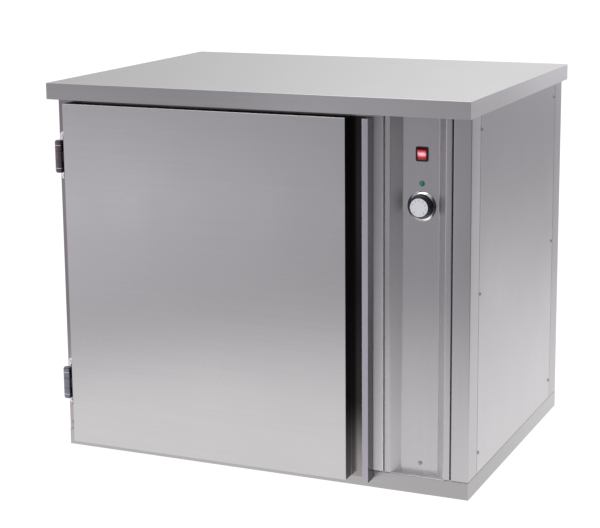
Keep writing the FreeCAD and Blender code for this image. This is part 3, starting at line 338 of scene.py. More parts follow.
def brushed_steel(
    name, grain, tone=0.60, roughness=0.30, anisotropy=0.5, tint=(1.0, 0.98, 1.0), fade=None
):
    """Sheet steel with fine scratches along one axis, and faint broad smears from wiping.

    A fade (axis, start, end, share at the start, share at the end) darkens its colour along that
    axis: painted shade.
    """
    steel = Finish(name)
    hairlines = steel.noise(drawn_out(grain, 38, 2400), detail=3.0)
    streaks = steel.noise(drawn_out(grain, 3, 210), detail=3.0)
    smears = steel.noise(4.5, detail=4.0, location=(3.1, 1.7, 0.4))
    shade = (hairlines - 0.5) * 0.5 + (streaks - 0.5) * 0.5 + 0.5
    dark = [tone * 0.93 * part for part in tint] + [1]
    light = [min(1.0, tone * 1.07 * part) for part in tint] + [1]
    colour = steel.mixed(shade, dark, light)
    if fade:
        axis, *span = fade
        colour = steel.mixed(steel.clamped(steel.along(axis), *span), (0, 0, 0, 1), colour)
    grooves = (hairlines - 0.5) * 0.10 + (smears - 0.5) * 0.12 + roughness
    return steel.surface({
        "Base Color": colour,
        "Metallic": 1.0,
        "Roughness": grooves,
        "Anisotropic": anisotropy,
        "Normal": steel.bumped(hairlines, 0.06, 0.05 * MM),
    })


# Painted shade: the lengthways steel darkens towards +x and the crossways steel towards the front.
# Painted light: the side rails' crossways steel is a brighter copy than the front and rear rails'.
steel_along_x = brushed_steel(
    "brushed_steel_lengthways", "x", tone=0.47, roughness=0.34, fade=("x", 0.0, 0.45, 1.0, 0.86)
)
steel_along_y = brushed_steel(
    "brushed_steel_crossways", "y", tone=0.55, roughness=0.34, fade=("y", -0.34, 0.34, 0.80, 1.0)
)
# Painted highlight: the rails' top faces take a far brighter, rougher copy of the steel.
lit_ledge_steel = brushed_steel("brushed_steel_ledge_painted_highlight", "x", tone=0.95, roughness=0.55)
for side in ("front", "rear"):
    rail = folded(f"plinth_{side}_rail", steel_along_x)
    partly(rail, lit_ledge_steel, lambda centre, normal: normal.z > 0.9)
for side in ("left", "right"):
    folded(f"plinth_{side}_rail", steel_along_y)


# Front and back frame: corner posts, centre post, header and sill of brushed steel, folded from
# sheet and spot-welded. The posts' grain runs upright and the rails' runs across.

upright_tint = (1.0, 0.972, 1.01)
post_steel = brushed_steel("brushed_steel_posts", "z", tone=0.53, tint=upright_tint)
# Painted light: the posts' side faces take a brighter copy of the steel, darker low down as painted
# shade.
post_flank_steel = brushed_steel(
    "brushed_steel_post_flanks", "z", tone=0.68, tint=upright_tint,
    fade=("z", 0.35, 0.75, 0.78, 1.0),
)
# Painted shade: the front left post, beside the door's hinge edge, is darker and tinted mauve, and
# darker still above its lowest 0.3 m.
left_post_steel = brushed_steel(
    "brushed_steel_left_post", "z", tone=0.44, tint=(1.0, 0.90, 0.95),
    fade=("z", 0.12, 0.32, 1.0, 0.70),
)
for node in ("front_left_post", "front_right_post", "rear_left_post", "rear_right_post"):
    post = folded(node, left_post_steel if node == "front_left_post" else post_steel)
    partly(post, post_flank_steel, lambda centre, normal: abs(normal.x) > 0.9)
# Painted light: the centre post takes a much brighter copy of the steel, set against the shade of
# the door's lip.
folded("centre_post", brushed_steel(
    "brushed_steel_centre_post", "z", tone=0.93, roughness=0.58, anisotropy=0.8, tint=upright_tint,
))
# The header and sill take the lengthways steel, darkened towards +x as painted shade.
for node in ("front_header", "front_sill"):
    folded(node, steel_along_x)


# Side and back panels: flat brushed sheets between the posts, held by pan-head screws. The back
# one has rows of punched vents.

panel_steel = brushed_steel("brushed_steel_panels", "z", tint=upright_tint)
for node in ("left_side_panel", "right_side_panel", "back_panel"):
    folded(node, panel_steel, radius=0.3 * MM)


# Screws: plated pan heads with a cross recess, in every place where the model has one. They hold
# the panels, the column's foot, the hinges and the worktop.

def placed(shape, turn, place=(0, 0, 0)):
    """Turn a whole shape about the origin, then move it."""
    bmesh.ops.rotate(shape, verts=shape.verts, cent=(0, 0, 0), matrix=turn)
    bmesh.ops.translate(shape, verts=shape.verts, vec=place)
    return shape


def upward_to(axis):
    """The turn that takes the upward direction to an axis."""
    return Vector((0, 0, 1)).rotation_difference(Vector(axis)).to_matrix()


def turned(outline, steps, centre=(0, 0, 0), axis=(0, 0, 1)):
    """Spin an outline of (radius, height) points, in millimetres, about an axis."""
    shape = bmesh.new()
    points = [shape.verts.new((radius * MM, 0, height * MM)) for radius, height in outline]
    line = [shape.edges.new(pair) for pair in zip(points, points[1:])]
    bmesh.ops.spin(
        shape, geom=points + line, cent=(0, 0, 0), axis=(0, 0, 1),
        angle=2 * math.pi, steps=steps, use_merge=True,
    )
    bmesh.ops.remove_doubles(shape, verts=shape.verts, dist=0.001 * MM)
    bmesh.ops.recalc_face_normals(shape, faces=shape.faces)
    return placed(shape, upward_to(axis), centre)


def carved(shape, cutter):
    """The shape with the cutter's solid taken out."""
    objects = []
    for part in (shape, cutter):
        mesh = bpy.data.meshes.new("carving")
        part.to_mesh(mesh)
        part.free()
        objects.append(bpy.data.objects.new("carving", mesh))
        bpy.context.scene.collection.objects.link(objects[-1])
    cut = objects[0].modifiers.new("carving", "BOOLEAN")
    cut.operation, cut.object, cut.solver = "DIFFERENCE", objects[1], "EXACT"
    evaluated = objects[0].evaluated_get(bpy.context.evaluated_depsgraph_get())
    result = bmesh.new()
    result.from_mesh(evaluated.to_mesh())
    for used in objects:
        bpy.data.objects.remove(used)
    return result


def block(size, centre, turn=0.0):
    """A box, turned about z."""
    shape = bmesh.new()
    bmesh.ops.create_cube(shape, size=1.0)
    bmesh.ops.scale(shape, verts=shape.verts, vec=size)
    return placed(shape, Matrix.Rotation(turn, 3, "Z"), centre)


def joined(shapes):
    """Several bmeshes as one."""
    whole = bmesh.new()
    for shape in shapes:
        mesh = bpy.data.meshes.new("part")
        shape.to_mesh(mesh)
        shape.free()
        whole.from_mesh(mesh)
        bpy.data.meshes.remove(mesh)
    return whole


def separate_solids(node):
    """The points of each separate solid of a CAD node."""
    shape = solid_of(node)
    left = dict.fromkeys(shape.verts)
    while left:
        group = [left.popitem()[0]]
        for vert in group:
            for edge in vert.link_edges:
                other = edge.other_vert(vert)
                if other in left:
                    del left[other]
                    group.append(other)
        yield [vert.co.copy() for vert in group]
    shape.free()


SHANK_REACH = 3.5 * MM


def screw_places(node):
    """For each screw: the middle of its head's seat, the way it faces and the shank's length."""
    for points in separate_solids(node):
        low = Vector([min(point[axis] for point in points) for axis in range(3)])
        high = Vector([max(point[axis] for point in points) for axis in range(3)])
        centre, size = (low + high) / 2, high - low
        along = max(range(3), key=lambda axis: abs(sum(size) - 3 * size[axis]))
        head = []
        for point in points:
            off_axis = point - centre
            off_axis[along] = 0
            if off_axis.length > SHANK_REACH:
                head.append(point[along])
        ends = min(head), max(head)
        facing = Vector((0, 0, 0))
        facing[along] = 1 if high[along] - ends[1] < ends[0] - low[along] else -1
        seat = centre.copy()
        seat[along] = ends[0] if facing[along] > 0 else ends[1]
        yield seat, facing, size[along] - (ends[1] - ends[0])


def pan_head(shank):
    """A pan-head screw that faces up, with a cross recess; its shank's length in millimetres."""
    head = turned([
        (0.0, 1.75), (1.7, 1.70), (3.1, 1.42), (4.1, 0.95), (4.45, 0.45), (4.5, 0.0), (2.0, 0.0),
        (2.0, 0.4 - shank), (1.5, -shank), (0.0, -shank),
    ], 24)
    for turn in (0.4, 0.4 + math.pi / 2):
        head = carved(head, block((4.0 * MM, 0.9 * MM, 1.6 * MM), (0, 0, 1.6 * MM), turn))
    return head


def mottled(name, scale, dark, light, roughness, metallic=0.0, bump=None, detail=3.0):
    """A finish whose colour, gloss and surface all follow one fine pattern.

    Roughness is (the least, what the pattern adds) and bump is (strength, depth).
    """
    finish = Finish(name)
    pattern = finish.noise(scale, detail)
    finish.surface({
        "Base Color": finish.mixed(pattern, dark + (1,), light + (1,)),
        "Metallic": metallic,
        "Roughness": roughness[0] + pattern * roughness[1],
    })
    if bump:
        finish.surface({"Normal": finish.bumped(pattern, *bump)})
    return finish


screw_steel = mottled(
    "plated_screw_steel", 900, (0.30, 0.30, 0.31), (0.46, 0.46, 0.47), (0.28, 0.16),
    metallic=1.0, bump=(0.15, 0.05 * MM),
)
bright_zinc = mottled(
    "bright_zinc", 260, (0.88, 0.88, 0.90), (0.97, 0.97, 0.99), (0.16, 0.12), metallic=0.2
)
for node, body in (
    ("panel_screws", "cabinet"), ("front_screws", "cabinet"), ("worktop_screws", "cabinet"),
    ("hinge_frame_screws", "cabinet"), ("hinge_door_screws", "door"),
):
    plating = bright_zinc if node == "hinge_frame_screws" else screw_steel
    heads = [
        placed(pan_head(shank / MM), upward_to(facing), seat)
        for seat, facing, shank in screw_places(node)
    ]
    shown(node + "_heads", joined(heads), plating, body, [node])


# Worktop: a brushed pan folded down on all sides, its corners welded and ground smooth, over a
# board coloured near black as painted shade in the gap above the door. It stands proud of the door
# and of both sides.

worktop_steel = brushed_steel(
    "brushed_steel_worktop", "x", tone=0.62, roughness=0.36, anisotropy=0.0
)
worktop = folded("worktop", worktop_steel, radius=0.6 * MM)
# Painted shade on the front apron, darker towards the left; painted light on the right flank, a
# much brighter copy of the steel that darkens towards the front.
apron_steel = brushed_steel(
    "brushed_steel_apron", "x", tone=0.65, fade=("x", -0.18, 0.2, 0.73, 1.0)
)
partly(worktop, apron_steel, lambda centre, normal: normal.y < -0.5)
flank_steel = brushed_steel("brushed_steel_flank", "y", tone=0.98, fade=("y", -0.2, 0.2, 0.86, 1.0))
partly(worktop, flank_steel, lambda centre, normal: normal.x > 0.5)

# Painted shade: the board is near black, so the gap above the door reads dark.
board = mottled(
    "worktop_board_painted_shade", [90, 900, 900], (0.008, 0.007, 0.007), (0.022, 0.018, 0.016),
    (0.55, 0.25), bump=(0.3, 0.2 * MM), detail=4.0,
)
for core_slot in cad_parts["worktop_core"].material_slots:
    core_slot.material = board.material


# Control column: one tall brushed sheet, folded to a shallow trough with sloping cheeks, so that
# the switch, lamp and dial sit back from the front plane.

column_steel = brushed_steel(
    "brushed_steel_column", "z", tone=0.515, roughness=0.28, tint=upright_tint
)
# Painted light: the sloping cheeks take their own copies of the steel, the right one much brighter
# and darker towards its top, the left one a little brighter.
cheek_steel = brushed_steel(
    "brushed_steel_right_cheek", "z", tone=0.78, roughness=0.5, tint=upright_tint,
    fade=("z", 0.25, 0.5, 1.0, 0.78),
)
left_cheek_steel = brushed_steel(
    "brushed_steel_left_cheek", "z", tone=0.56, roughness=0.42, tint=upright_tint
)
column = folded("control_panel", column_steel, radius=1.8 * MM)
partly(column, cheek_steel, lambda centre, normal: -0.9 < normal.x < -0.5 and normal.y < 0)
partly(column, left_cheek_steel, lambda centre, normal: 0.5 < normal.x < 0.9 and normal.y < 0)


# Mains switch: a snap-in housing of glossy black plastic with a rounded bezel and a red rocker
# that is lit from inside. The rocker pivots on two stub pins.

BEZEL_PROUD = 2.2 * MM
BEZEL_RIM = 3.2 * MM
WELL_DEPTH, OPENING_SHARE = 14 * MM, 0.93
UPRIGHT = Matrix.Rotation(math.pi / 2, 3, "X")


def only(kind, items):
    """The vertices, edges or faces among what an operator made."""
    return [item for item in items if isinstance(item, kind)]


def plate(width, height, corner):
    """A flat rounded face that looks towards -y, centred on the origin."""
    shape = bmesh.new()
    bmesh.ops.create_grid(shape, x_segments=1, y_segments=1, size=0.5)
    bmesh.ops.scale(shape, verts=shape.verts, vec=(width, height, 1))
    bmesh.ops.bevel(
        shape, geom=shape.verts[:], offset=corner, offset_type="OFFSET", segments=5,
        profile=0.5, affect="VERTICES", material=-1,
    )
    return placed(shape, UPRIGHT)


def drawn(shape, faces, run):
    """Move faces by a run, with new walls from where they were."""
    made = bmesh.ops.extrude_face_region(shape, geom=faces)["geom"]
    bmesh.ops.translate(shape, verts=only(bmesh.types.BMVert, made), vec=run)
    bmesh.ops.delete(shape, geom=faces, context="FACES_ONLY")


def moulded_plastic(name, colour, roughness):
    """Moulded plastic with a fine grain and slightly uneven gloss."""
    plastic = Finish(name)
    grain = plastic.noise(700, detail=3.0)
    cloud = plastic.noise(60, detail=3.0)
    deep = [part * 0.88 for part in colour] + [1]
    pale = [min(1.0, part * 1.12) for part in colour] + [1]
    return plastic.surface({
        "Base Color": plastic.mixed(cloud, deep, pale),
        "Roughness": roughness + (grain - 0.5) * 0.12,
        "Normal": plastic.bumped(grain, 0.04, 0.1 * MM),
    })


black_plastic = moulded_plastic("black_moulded_plastic", (0.006, 0.006, 0.009), 0.22)
housing_low, housing_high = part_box("switch_housing")
switch_centre = (housing_low + housing_high) / 2
sheet_front = housing_low.y + BEZEL_PROUD
bezel_width, bezel_height = housing_high.x - housing_low.x, housing_high.z - housing_low.z

housing = plate(bezel_width, bezel_height, 3.6 * MM)
rim = bmesh.ops.inset_region(
    housing, faces=housing.faces[:], thickness=BEZEL_RIM, use_boundary=True, use_even_offset=True
)["faces"]
opening = [face for face in housing.faces if face not in rim]
bmesh.ops.scale(housing, verts=opening[0].verts[:], vec=(OPENING_SHARE, 1, 1))
drawn(housing, opening, (0, WELL_DEPTH, 0))
outline = [edge for edge in housing.edges if edge.is_boundary]
sides = bmesh.ops.extrude_edge_only(housing, edges=outline)["geom"]
bmesh.ops.translate(housing, verts=only(bmesh.types.BMVert, sides), vec=(0, BEZEL_PROUD, 0))
back_edges = [edge for edge in only(bmesh.types.BMEdge, sides) if edge.is_boundary]
back = bmesh.ops.contextual_create(housing, geom=back_edges)["faces"]
bmesh.ops.inset_region(housing, faces=back, thickness=1.5 * MM, use_even_offset=True)
drawn(housing, back, (0, housing_high.y - sheet_front, 0))
bmesh.ops.translate(
    housing, verts=housing.verts, vec=(switch_centre.x, housing_low.y, switch_centre.z)
)
bmesh.ops.recalc_face_normals(housing, faces=housing.faces)
rounded(housing, 0.8 * MM, turn=60)
bmesh.ops.dissolve_degenerate(housing, dist=0.002 * MM, edges=housing.edges)
evened(shown(
    "switch_housing_moulding", housing, black_plastic, "cabinet",
    ["switch_housing"],
))

# The rocker's face is dished, with a rolled edge and fine upright ribs. The gaps at its ends let it
# tip clear of the rim.
ROCKER_FRONT, ROCKER_BACK, PIVOT_DEPTH = 9.3 * MM, 3.0 * MM, 6.5 * MM
ROCKER_TIP = math.radians(10)
RIBS, RIB_HEIGHT = 7, 0.22 * MM
DISH, EDGE_ROLL = 1.7 * MM, 0.9 * MM
SIDE_GAPS, END_GAPS = 0.9 * MM, 3.8 * MM
rocker_width = (bezel_width - 2 * BEZEL_RIM) * OPENING_SHARE - SIDE_GAPS
rocker_height = bezel_height - 2 * BEZEL_RIM - END_GAPS
pivot = Vector((switch_centre.x, sheet_front + PIVOT_DEPTH, switch_centre.z))
rocker = bmesh.new()
bmesh.ops.create_grid(rocker, x_segments=42, y_segments=20, size=0.5)
placed(rocker, UPRIGHT)
for vert in rocker.verts:
    across, up = vert.co.x * 2, vert.co.z * 2
    run_out = min(1, 8 * (1 - abs(across))) * min(1, 8 * (1 - abs(up)))
    rib = RIB_HEIGHT * math.cos(across * RIBS * math.pi) * run_out
    raised = DISH * abs(up) ** 1.6 - EDGE_ROLL * max(abs(across), abs(up)) ** 12
    vert.co.x, vert.co.z = vert.co.x * rocker_width, vert.co.z * rocker_height
    vert.co.y = rib - raised - ROCKER_FRONT
made = bmesh.ops.extrude_face_region(rocker, geom=rocker.faces[:], use_keep_orig=True)["geom"]
for vert in only(bmesh.types.BMVert, made):
    vert.co.y = ROCKER_BACK
bmesh.ops.recalc_face_normals(rocker, faces=rocker.faces)
placed(rocker, Matrix.Rotation(ROCKER_TIP, 3, "X"))
pins = turned([
    (0, -9.45), (1.4, -9.45), (1.5, -9.35), (1.5, 9.35), (1.4, 9.45), (0, 9.45),
], 20, axis=(1, 0, 0))
rocker = joined([rocker, pins])
bmesh.ops.translate(rocker, verts=rocker.verts, vec=pivot)

red_lens = Finish("lit_red_lens")
x, y, z = red_lens.around(pivot)
ribs = x.worked("SINE", x * 2.35) * 0.5 + 0.5
strands = red_lens.noise([520, 520, 60])
from_lamp = (x * x * 0.10 + z * z) ** 0.5 + ribs * 4.0 + strands * 1.5
lit_red = red_lens.mixed(
    red_lens.clamped(from_lamp, 4.5, 14.0), (0.70, 0.055, 0.06, 1), (0.13, 0.004, 0.006, 1)
)
lit_red = red_lens.mixed(red_lens.clamped(y, -8.4, -6.5), lit_red, (0.03, 0.001, 0.001, 1))
hot = 1 - red_lens.clamped(from_lamp, 2.4, 8.2)
red_lens.surface({
    "Base Color": (0.20, 0.006, 0.008, 1),
    "Roughness": 0.16 + strands * 0.1,
    "Emission Color": red_lens.mixed(hot, lit_red, (0.95, 0.68, 0.80, 1)),
    "Emission Strength": 1.0,
    "Normal": red_lens.bumped(strands + ribs, 0.2, 0.2 * MM),
})
shown("switch_rocker_lens", rocker, red_lens, "rocker", ["switch_rocker"], smooth=50)


# Indicator lamp: a domed lens of clear green plastic on a small flange, snapped through the sheet
# above the dial. Facets inside it spread the light.

def on_sheet(node):
    """The middle of a node's box, on the front of the column's sheet."""
    low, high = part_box(node)
    return Vector(((low.x + high.x) / 2, sheet_front, (low.z + high.z) / 2))


lamp = turned([
    (0.0, 5.9), (1.2, 5.75), (2.4, 5.3), (3.4, 4.6), (4.2, 3.6), (4.7, 2.4), (4.9, 1.5), (5.6, 1.4),
    (5.95, 1.0), (6.0, 0.0), (4.5, 0.0), (4.5, -20.0), (4.1, -23.9), (0.0, -23.9),
], 40, on_sheet("indicator_lamp"), axis=(0, -1, 0))
green_lens = Finish("green_lens")
facets = green_lens.cells(900)
green_lens.surface({
    "Base Color": green_lens.mixed(facets, (0.0, 0.15, 0.105, 1), (0.004, 0.38, 0.27, 1)),
    "Roughness": 0.10 + facets * 0.05,
    "Coat Weight": 0.6,
    "Normal": green_lens.bumped(facets, 0.12, 0.2 * MM),
})
shown(
    "indicator_lamp_lens", lamp, green_lens, "cabinet", ["indicator_lamp"], smooth=40
)


# Thermostat dial: a chromed ring pressed round the hole, and a black knob with a fluted skirt, a
# small tab and a satin face that carries the scale. Behind the sheet are the thermostat's body and
# a copper sensor that runs into the chamber.

dial_centre = on_sheet("thermostat_bezel")
ring = turned([
    (26.2, 0.0), (31.5, 0.0), (31.5, 0.25), (31.3, 0.5), (27.3, 3.7), (26.9, 3.95), (26.6, 4.0),
    (26.3, 3.9), (26.2, 3.6), (26.2, 0.0),
], 72, dial_centre, axis=(0, -1, 0))
# Painted shade: the chrome ring is darkened on its left and right sides, where it mirrors dark
# surroundings.
ring_chrome = Finish("chrome_ring_painted_shade")
aside = ring_chrome.around(dial_centre)[0]
side_shade = ring_chrome.clamped(aside * aside, 250, 640)
ring_chrome.surface({
    "Base Color": ring_chrome.mixed(side_shade, (0.92, 0.92, 0.94, 1), (0.10, 0.10, 0.13, 1)),
    "Metallic": 1.0,
    "Roughness": 0.10 + side_shade * 0.1,
})
shown("thermostat_ring", ring, ring_chrome, "cabinet", ["thermostat_bezel"], smooth=50)

FLUTES, FLUTE_DEPTH = 36, 0.35 * MM
knob = turned([
    (0.0, 18.4), (19.8, 18.4), (20.0, 19.0), (20.7, 19.0), (21.4, 18.6), (21.9, 17.6), (22.8, 14.0),
    (24.0, 9.0), (24.5, 6.2), (25.2, 5.4), (25.5, 4.6), (25.5, 0.6), (3.0, 0.6), (3.0, -20.4),
    (0.0, -20.4),
], 144, axis=(0, -1, 0))
for vert in knob.verts:
    radius = math.hypot(vert.co.x, vert.co.z)
    if 21.7 * MM < radius < 24.5 * MM and vert.co.y < -5 * MM:
        angle = math.atan2(vert.co.z, vert.co.x)
        swell = 1 + FLUTE_DEPTH * math.cos(FLUTES * angle) / radius
        vert.co.x, vert.co.z = vert.co.x * swell, vert.co.z * swell
tab = rounded(block((7.5 * MM, 3.3 * MM, 3.2 * MM), (25.7 * MM, -6.2 * MM, 0)), 0.5 * MM, 2)
knob = joined([knob, tab])
bmesh.ops.translate(knob, verts=knob.verts, vec=dial_centre)
knob_plastic = moulded_plastic("blue_black_moulded_plastic", (0.004, 0.004, 0.016), 0.16)
shown(
    "thermostat_knob_moulding", knob, knob_plastic, "thermostat_dial",
    ["thermostat_knob"], smooth=40,
)

dial_face = turned([
    (0.0, 18.75), (19.5, 18.75), (19.65, 18.6), (19.65, 18.45), (0.0, 18.45),
], 72, dial_centre, axis=(0, -1, 0))
satin = mottled(
    "satin_dial_face", 1500, (0.88, 0.88, 0.97), (0.94, 0.94, 1.0), (0.34, 0.12),
    bump=(0.05, 0.05 * MM), detail=2.0,
)
shown("thermostat_dial_face", dial_face, satin, "thermostat_dial", smooth=40)

NUMERALS, NUMERAL_HEIGHT = "012345678", 4.6 * MM
NUMERAL_REACH, TICK_REACH = 15.0 * MM, 18.6 * MM
FIRST_ANGLE, SCALE_SWEEP = 225, 270
PRINT_FRONT = -18.76 * MM
scale_marks = []
for index, numeral in enumerate(NUMERALS):
    angle = math.radians(FIRST_ANGLE - index * SCALE_SWEEP / (len(NUMERALS) - 1))
    text = bpy.data.curves.new("numeral", "FONT")
    text.body, text.size, text.extrude = numeral, NUMERAL_HEIGHT, 0.05 * MM
    text.align_x, text.align_y = "CENTER", "CENTER"
    written = bpy.data.objects.new("numeral", text)
    bpy.context.scene.collection.objects.link(written)
    bpy.context.view_layer.update()
    numeral_mesh = bpy.data.meshes.new_from_object(
        written.evaluated_get(bpy.context.evaluated_depsgraph_get())
    )
    bpy.data.objects.remove(written)
    mark = bmesh.new()
    mark.from_mesh(numeral_mesh)
    bmesh.ops.remove_doubles(mark, verts=mark.verts, dist=0.0005 * MM)
    bmesh.ops.recalc_face_normals(mark, faces=mark.faces)
    way = Vector((math.cos(angle), 0, math.sin(angle)))
    print_centre = dial_centre + Vector((0, PRINT_FRONT, 0))
    scale_marks.append(placed(mark, UPRIGHT, print_centre + NUMERAL_REACH * way))
    tick = block((1.4 * MM, 0.1 * MM, 0.45 * MM), (TICK_REACH, PRINT_FRONT, 0))
    scale_marks.append(placed(tick, Matrix.Rotation(-angle, 3, "Y"), dial_centre))
ink = moulded_plastic("grey_printing_ink", (0.11, 0.11, 0.13), 0.5)
shown("thermostat_scale", joined(scale_marks), ink, "thermostat_dial")


def softened(node, finish, body, radius, segments=2):
    """A node's solid with every corner eased."""
    shape = rounded(solid_of(node), radius, segments)
    return evened(shown(node + "_eased", shape, finish, body, [node], smooth=40))


white_plastic = moulded_plastic("white_moulded_plastic", (0.74, 0.73, 0.69), 0.42)
softened("thermostat_body", white_plastic, "cabinet", 1.2 * MM, 3)
copper = mottled(
    "drawn_copper", 40, (0.48, 0.22, 0.12), (0.80, 0.46, 0.30), (0.22, 0.2),
    metallic=1.0, detail=4.0,
)
softened("thermostat_sensor", copper, "cabinet", 0.4 * MM)


# Door: an outer pan and an inner sheet of brushed steel round a slab of mineral wool. The pan's
# edges are folded with a small radius, and its face is plain.

door_steel = brushed_steel("brushed_steel_door", "x")
outer_skin = folded("door_outer_skin", door_steel, "door", radius=2.2 * MM)
# Painted shade: the pan's top face is nearly black.
shaded_steel = brushed_steel("door_top_painted_shade", "x", tone=0.12, roughness=0.5)
partly(outer_skin, shaded_steel, lambda centre, normal: normal.z > 0.9)
# Painted highlight: the fold at the pan's top is a near-white copy of the steel, and glossier.
highlight_fold_steel = brushed_steel("door_fold_painted_highlight", "x", tone=0.98, roughness=0.24)
partly(outer_skin, highlight_fold_steel, lambda centre, normal: 0.2 < normal.z < 0.9 and centre.z > 0.5)
inner_steel = brushed_steel("brushed_steel_inner_door", "z")
folded("door_inner_skin", inner_steel, "door", radius=0.4 * MM)

LONGEST_WOOL_EDGE, WOOL_SINK = 45 * MM, 0.9 * MM


def fibre_slab(node, finish, body):
    """Mineral wool: a slab with a slightly uneven surface that stays inside its solid."""
    shape = solid_of(node)
    bmesh.ops.triangulate(shape, faces=shape.faces)
    for _ in range(40):
        long_edges = [edge for edge in shape.edges if edge.calc_length() > LONGEST_WOOL_EDGE]
        if not long_edges:
            break
        bmesh.ops.subdivide_edges(shape, edges=long_edges, cuts=1, use_grid_fill=True)
        bmesh.ops.triangulate(shape, faces=shape.faces)
    shape.normal_update()
    for vert in shape.verts:
        x, y, z = vert.co * 31
        wave = math.sin(x * 2.1 + 3 * math.sin(z)) * math.sin(y * 1.7 + z * 2.3)
        vert.co -= vert.normal * (WOOL_SINK * (0.5 + 0.5 * wave))
    return shown(node + "_slab", shape, finish, body, [node], smooth=60)


wool = Finish("mineral_wool")
fibres = wool.noise([900, 900, 90], detail=4.0)
tufts = wool.noise(55, detail=3.0)
tangle = fibres * 0.6 + tufts * 0.4
wool.surface({
    "Base Color": wool.mixed(tangle, (0.34, 0.28, 0.13, 1), (0.78, 0.70, 0.44, 1)),
    "Roughness": 0.95,
    "Normal": wool.bumped(fibres + tufts, 0.8, 0.6 * MM),
})
fibre_slab("door_insulation", wool, "door")


# Door grip: a full-height section at the door's free edge, with a deep finger recess and a rounded
# lip in front of it. The lip is bluish brushed steel with painted shade. The recess is painted dark
# as shade, nearly black from 0.2 m up and less dark towards the bottom.

LIP_WIDTH = 13.5 * MM
# Painted shade: the lip darkens towards the bottom, and its right side is a much darker copy of the
# steel that darkens further low down.
lip_steel = brushed_steel(
    "brushed_steel_lip", "z", tone=0.64, roughness=0.62, tint=(1.0, 0.96, 1.08),
    fade=("z", 0.1, 0.5, 0.86, 1.0),
)
edge_steel = brushed_steel(
    "brushed_steel_lip_edge", "z", tone=0.36, roughness=0.22, tint=(0.98, 0.97, 1.04),
    fade=("z", 0.25, 0.62, 0.35, 1.0),
)
# Painted shade: the recess's colour is dark, nearly black above 0.2 m and lighter towards the
# floor.
recess_shade_steel = Finish("recess_steel_painted_shade")
rub = recess_shade_steel.noise([2400, 2400, 38], detail=3.0)
share = recess_shade_steel.clamped(recess_shade_steel.along("z"), 0.0, 0.20, 0.33, 0.028) * (0.85 + rub * 0.3)
recess_shade_steel.surface({
    "Base Color": recess_shade_steel.mixed(share, (0, 0, 0, 1), (1.0, 0.93, 0.92, 1)),
    "Metallic": 1.0,
    "Roughness": 0.14 + rub * 0.06,
    "Anisotropic": 0.5,
    "Normal": recess_shade_steel.bumped(rub, 0.05, 0.05 * MM),
})
grip = folded("door_grip", lip_steel, "door")
grip_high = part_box("door_grip")[1]
lip_inside = grip_high.x - LIP_WIDTH
partly(grip, recess_shade_steel, lambda centre, normal: centre.x < lip_inside + 0.2 * MM)
partly(grip, edge_steel, lambda centre, normal: normal.x > 0.8)


# Seal and catch: a black silicone profile round the door's inside, a keeper plate on the door and a
# magnet block behind a window in the post.

silicone = mottled(
    "black_silicone", 450, (0.025, 0.025, 0.026), (0.055, 0.055, 0.057), (0.62, 0.2),
    bump=(0.25, 0.15 * MM),
)
softened("door_gasket", silicone, "door", 0.8 * MM, 3)
# The keeper plate takes the lengthways steel, darkened towards +x as painted shade.
softened("door_strike", steel_along_x, "door", 0.4 * MM)
softened("door_catch", black_plastic, "cabinet", 0.5 * MM)


# Hinges: two surface hinges, each with a polished frame leaf, a black door leaf, bright collars
# and a pin with domed caps. The black knuckles are painted darker and brownish above as painted
# shade, and lighter and bluish below as a painted reflection.

HINGE_AXIS = Vector((-474.5 * MM, -362.5 * MM, 0))
BARREL_RADIUS, COLLAR_OFFSET = 10.0 * MM, 26.0 * MM
chrome = mottled(
    "polished_chrome", 70, (0.70, 0.71, 0.73), (0.86, 0.86, 0.88), (0.06, 0.08), metallic=1.0
)
dark_metal = mottled(
    "satin_black_metal", 500, (0.022, 0.021, 0.024), (0.050, 0.048, 0.054), (0.30, 0.16),
    metallic=0.6, bump=(0.2, 0.1 * MM),
)
# Painted light: the knuckles are lighter and bluish below 0.25 m, darker and brownish above 0.6 m.
barrel_metal = Finish("satin_black_barrel_painted_light")
wipe = barrel_metal.noise(320, detail=3.0)
painted_light_by_height = barrel_metal.mixed(
    barrel_metal.clamped(barrel_metal.along("z"), 0.25, 0.6),
    (0.36, 0.37, 0.47, 1), (0.27, 0.205, 0.235, 1),
)
barrel_metal.surface({
    "Base Color": barrel_metal.mixed(wipe, (0.14, 0.13, 0.145, 1), painted_light_by_height),
    "Metallic": 1.0,
    "Roughness": 0.34 + wipe * 0.14,
    "Normal": barrel_metal.bumped(wipe, 0.1, 0.1 * MM),
})


def on_barrel(centre, normal):
    return math.hypot(centre.x - HINGE_AXIS.x, centre.y - HINGE_AXIS.y) < BARREL_RADIUS + 0.3 * MM


for place in ("upper", "lower"):
    frame_leaf, door_leaf = f"hinge_{place}_frame_leaf", f"hinge_{place}_door_leaf"
    leaf = softened(frame_leaf, chrome, "cabinet", 0.7 * MM, 3)
    partly(leaf, barrel_metal, on_barrel)
    leaf = softened(door_leaf, dark_metal, "door", 0.7 * MM, 3)
    partly(leaf, barrel_metal, on_barrel)
    low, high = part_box(frame_leaf)
    collars = []
    for offset in (-COLLAR_OFFSET, COLLAR_OFFSET):
        middle = HINGE_AXIS + Vector((0, 0, (low.z + high.z) / 2 + offset))
        collars.append(turned([
            (9.6, -0.7), (10.15, -0.7), (10.35, -0.35), (10.35, 0.35), (10.15, 0.7), (9.6, 0.7),
            (9.6, -0.7),
        ], 48, middle))
    shown(f"hinge_{place}_collars", joined(collars), chrome, "cabinet", smooth=50)
softened("hinge_pins", barrel_metal, "cabinet", 0.9 * MM, 3)


# Heated chamber: five bright liner sheets that make a box behind the door, and slabs of mineral
# wool packed round them in the carcass.

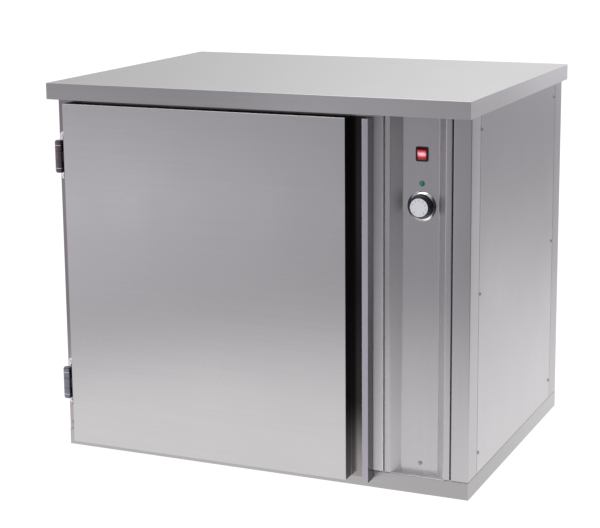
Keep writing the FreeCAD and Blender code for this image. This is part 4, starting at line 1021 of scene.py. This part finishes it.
liner_steel = brushed_steel("liner_steel", "z", roughness=0.26)
for node in (
    "chamber_left_wall", "chamber_right_wall", "chamber_ceiling", "chamber_floor_sheet",
    "chamber_back_wall",
):
    folded(node, liner_steel, radius=0.3 * MM)
fibre_slab("chamber_insulation", wool, "cabinet")


# Shelves: two slotted steel trays with folded lips, resting on angle runners that are spot-welded
# to the chamber's walls.

shelf_steel = brushed_steel("shelf_steel", "x", roughness=0.28)
for node in ("shelf_lower", "shelf_upper", "shelf_runners"):
    folded(node, shelf_steel, radius=1.5 * MM)


# Warm air: a slotted duct panel, a ring heating element and an impeller, driven through the back
# wall by a motor on four standoffs.

folded("air_duct_panel", liner_steel, radius=0.4 * MM)
sheath = mottled(
    "heat_tinted_sheath", 28, (0.11, 0.085, 0.075), (0.34, 0.26, 0.20), (0.42, 0.2), metallic=1.0
)
softened("heating_element", sheath, "cabinet", 0.5 * MM)
aluminium = mottled(
    "satin_aluminium", 1200, (0.62, 0.63, 0.64), (0.76, 0.77, 0.78), (0.34, 0.14),
    metallic=1.0, bump=(0.1, 0.05 * MM), detail=2.0,
)
softened("fan_impeller", aluminium, "fan", 0.4 * MM, 1)
casting = mottled(
    "cast_metal", 600, (0.30, 0.30, 0.31), (0.48, 0.48, 0.49), (0.52, 0.2),
    metallic=0.9, bump=(0.5, 0.2 * MM), detail=4.0,
)
softened("fan_motor", casting, "cabinet", 1.0 * MM)


# Carcass inside: the base sheet and the wall of the control compartment, both galvanised. A strip
# of the base shows at the column's foot and takes the plinth's ledge steel, painted bright as a
# highlight.

zinc = Finish("galvanised_sheet")
spangle = zinc.add("SeparateColor", {}, {0: zinc.cells(70, "Color")})
zinc.surface({
    "Base Color": zinc.mixed(spangle, (0.40, 0.41, 0.42, 1), (0.60, 0.61, 0.63, 1)),
    "Metallic": 1.0,
    "Roughness": 0.36 + spangle * 0.22,
})
for node in ("base_panel", "compartment_wall"):
    sheet = folded(node, zinc, radius=0.8 * MM)
    partly(sheet, lit_ledge_steel, lambda centre, normal: normal.z > 0.9 and centre.z < 0.05)


# Electrics: the supply gland in the back panel, a terminal block on the base and the sleeved loom
# that runs up to the switch.

softened("cable_gland", black_plastic, "cabinet", 0.8 * MM, 3)
softened("terminal_block", white_plastic, "cabinet", 0.8 * MM)
sleeve = Finish("braided_sleeve")
braid = sleeve.cells(700)
sleeve.surface({
    "Base Color": sleeve.mixed(braid, (0.022, 0.022, 0.026, 1), (0.085, 0.085, 0.095, 1)),
    "Roughness": 0.6,
    "Normal": sleeve.bumped(braid, 0.6, 0.3 * MM),
})
softened("wiring_loom", sleeve, "cabinet", 0.3 * MM)
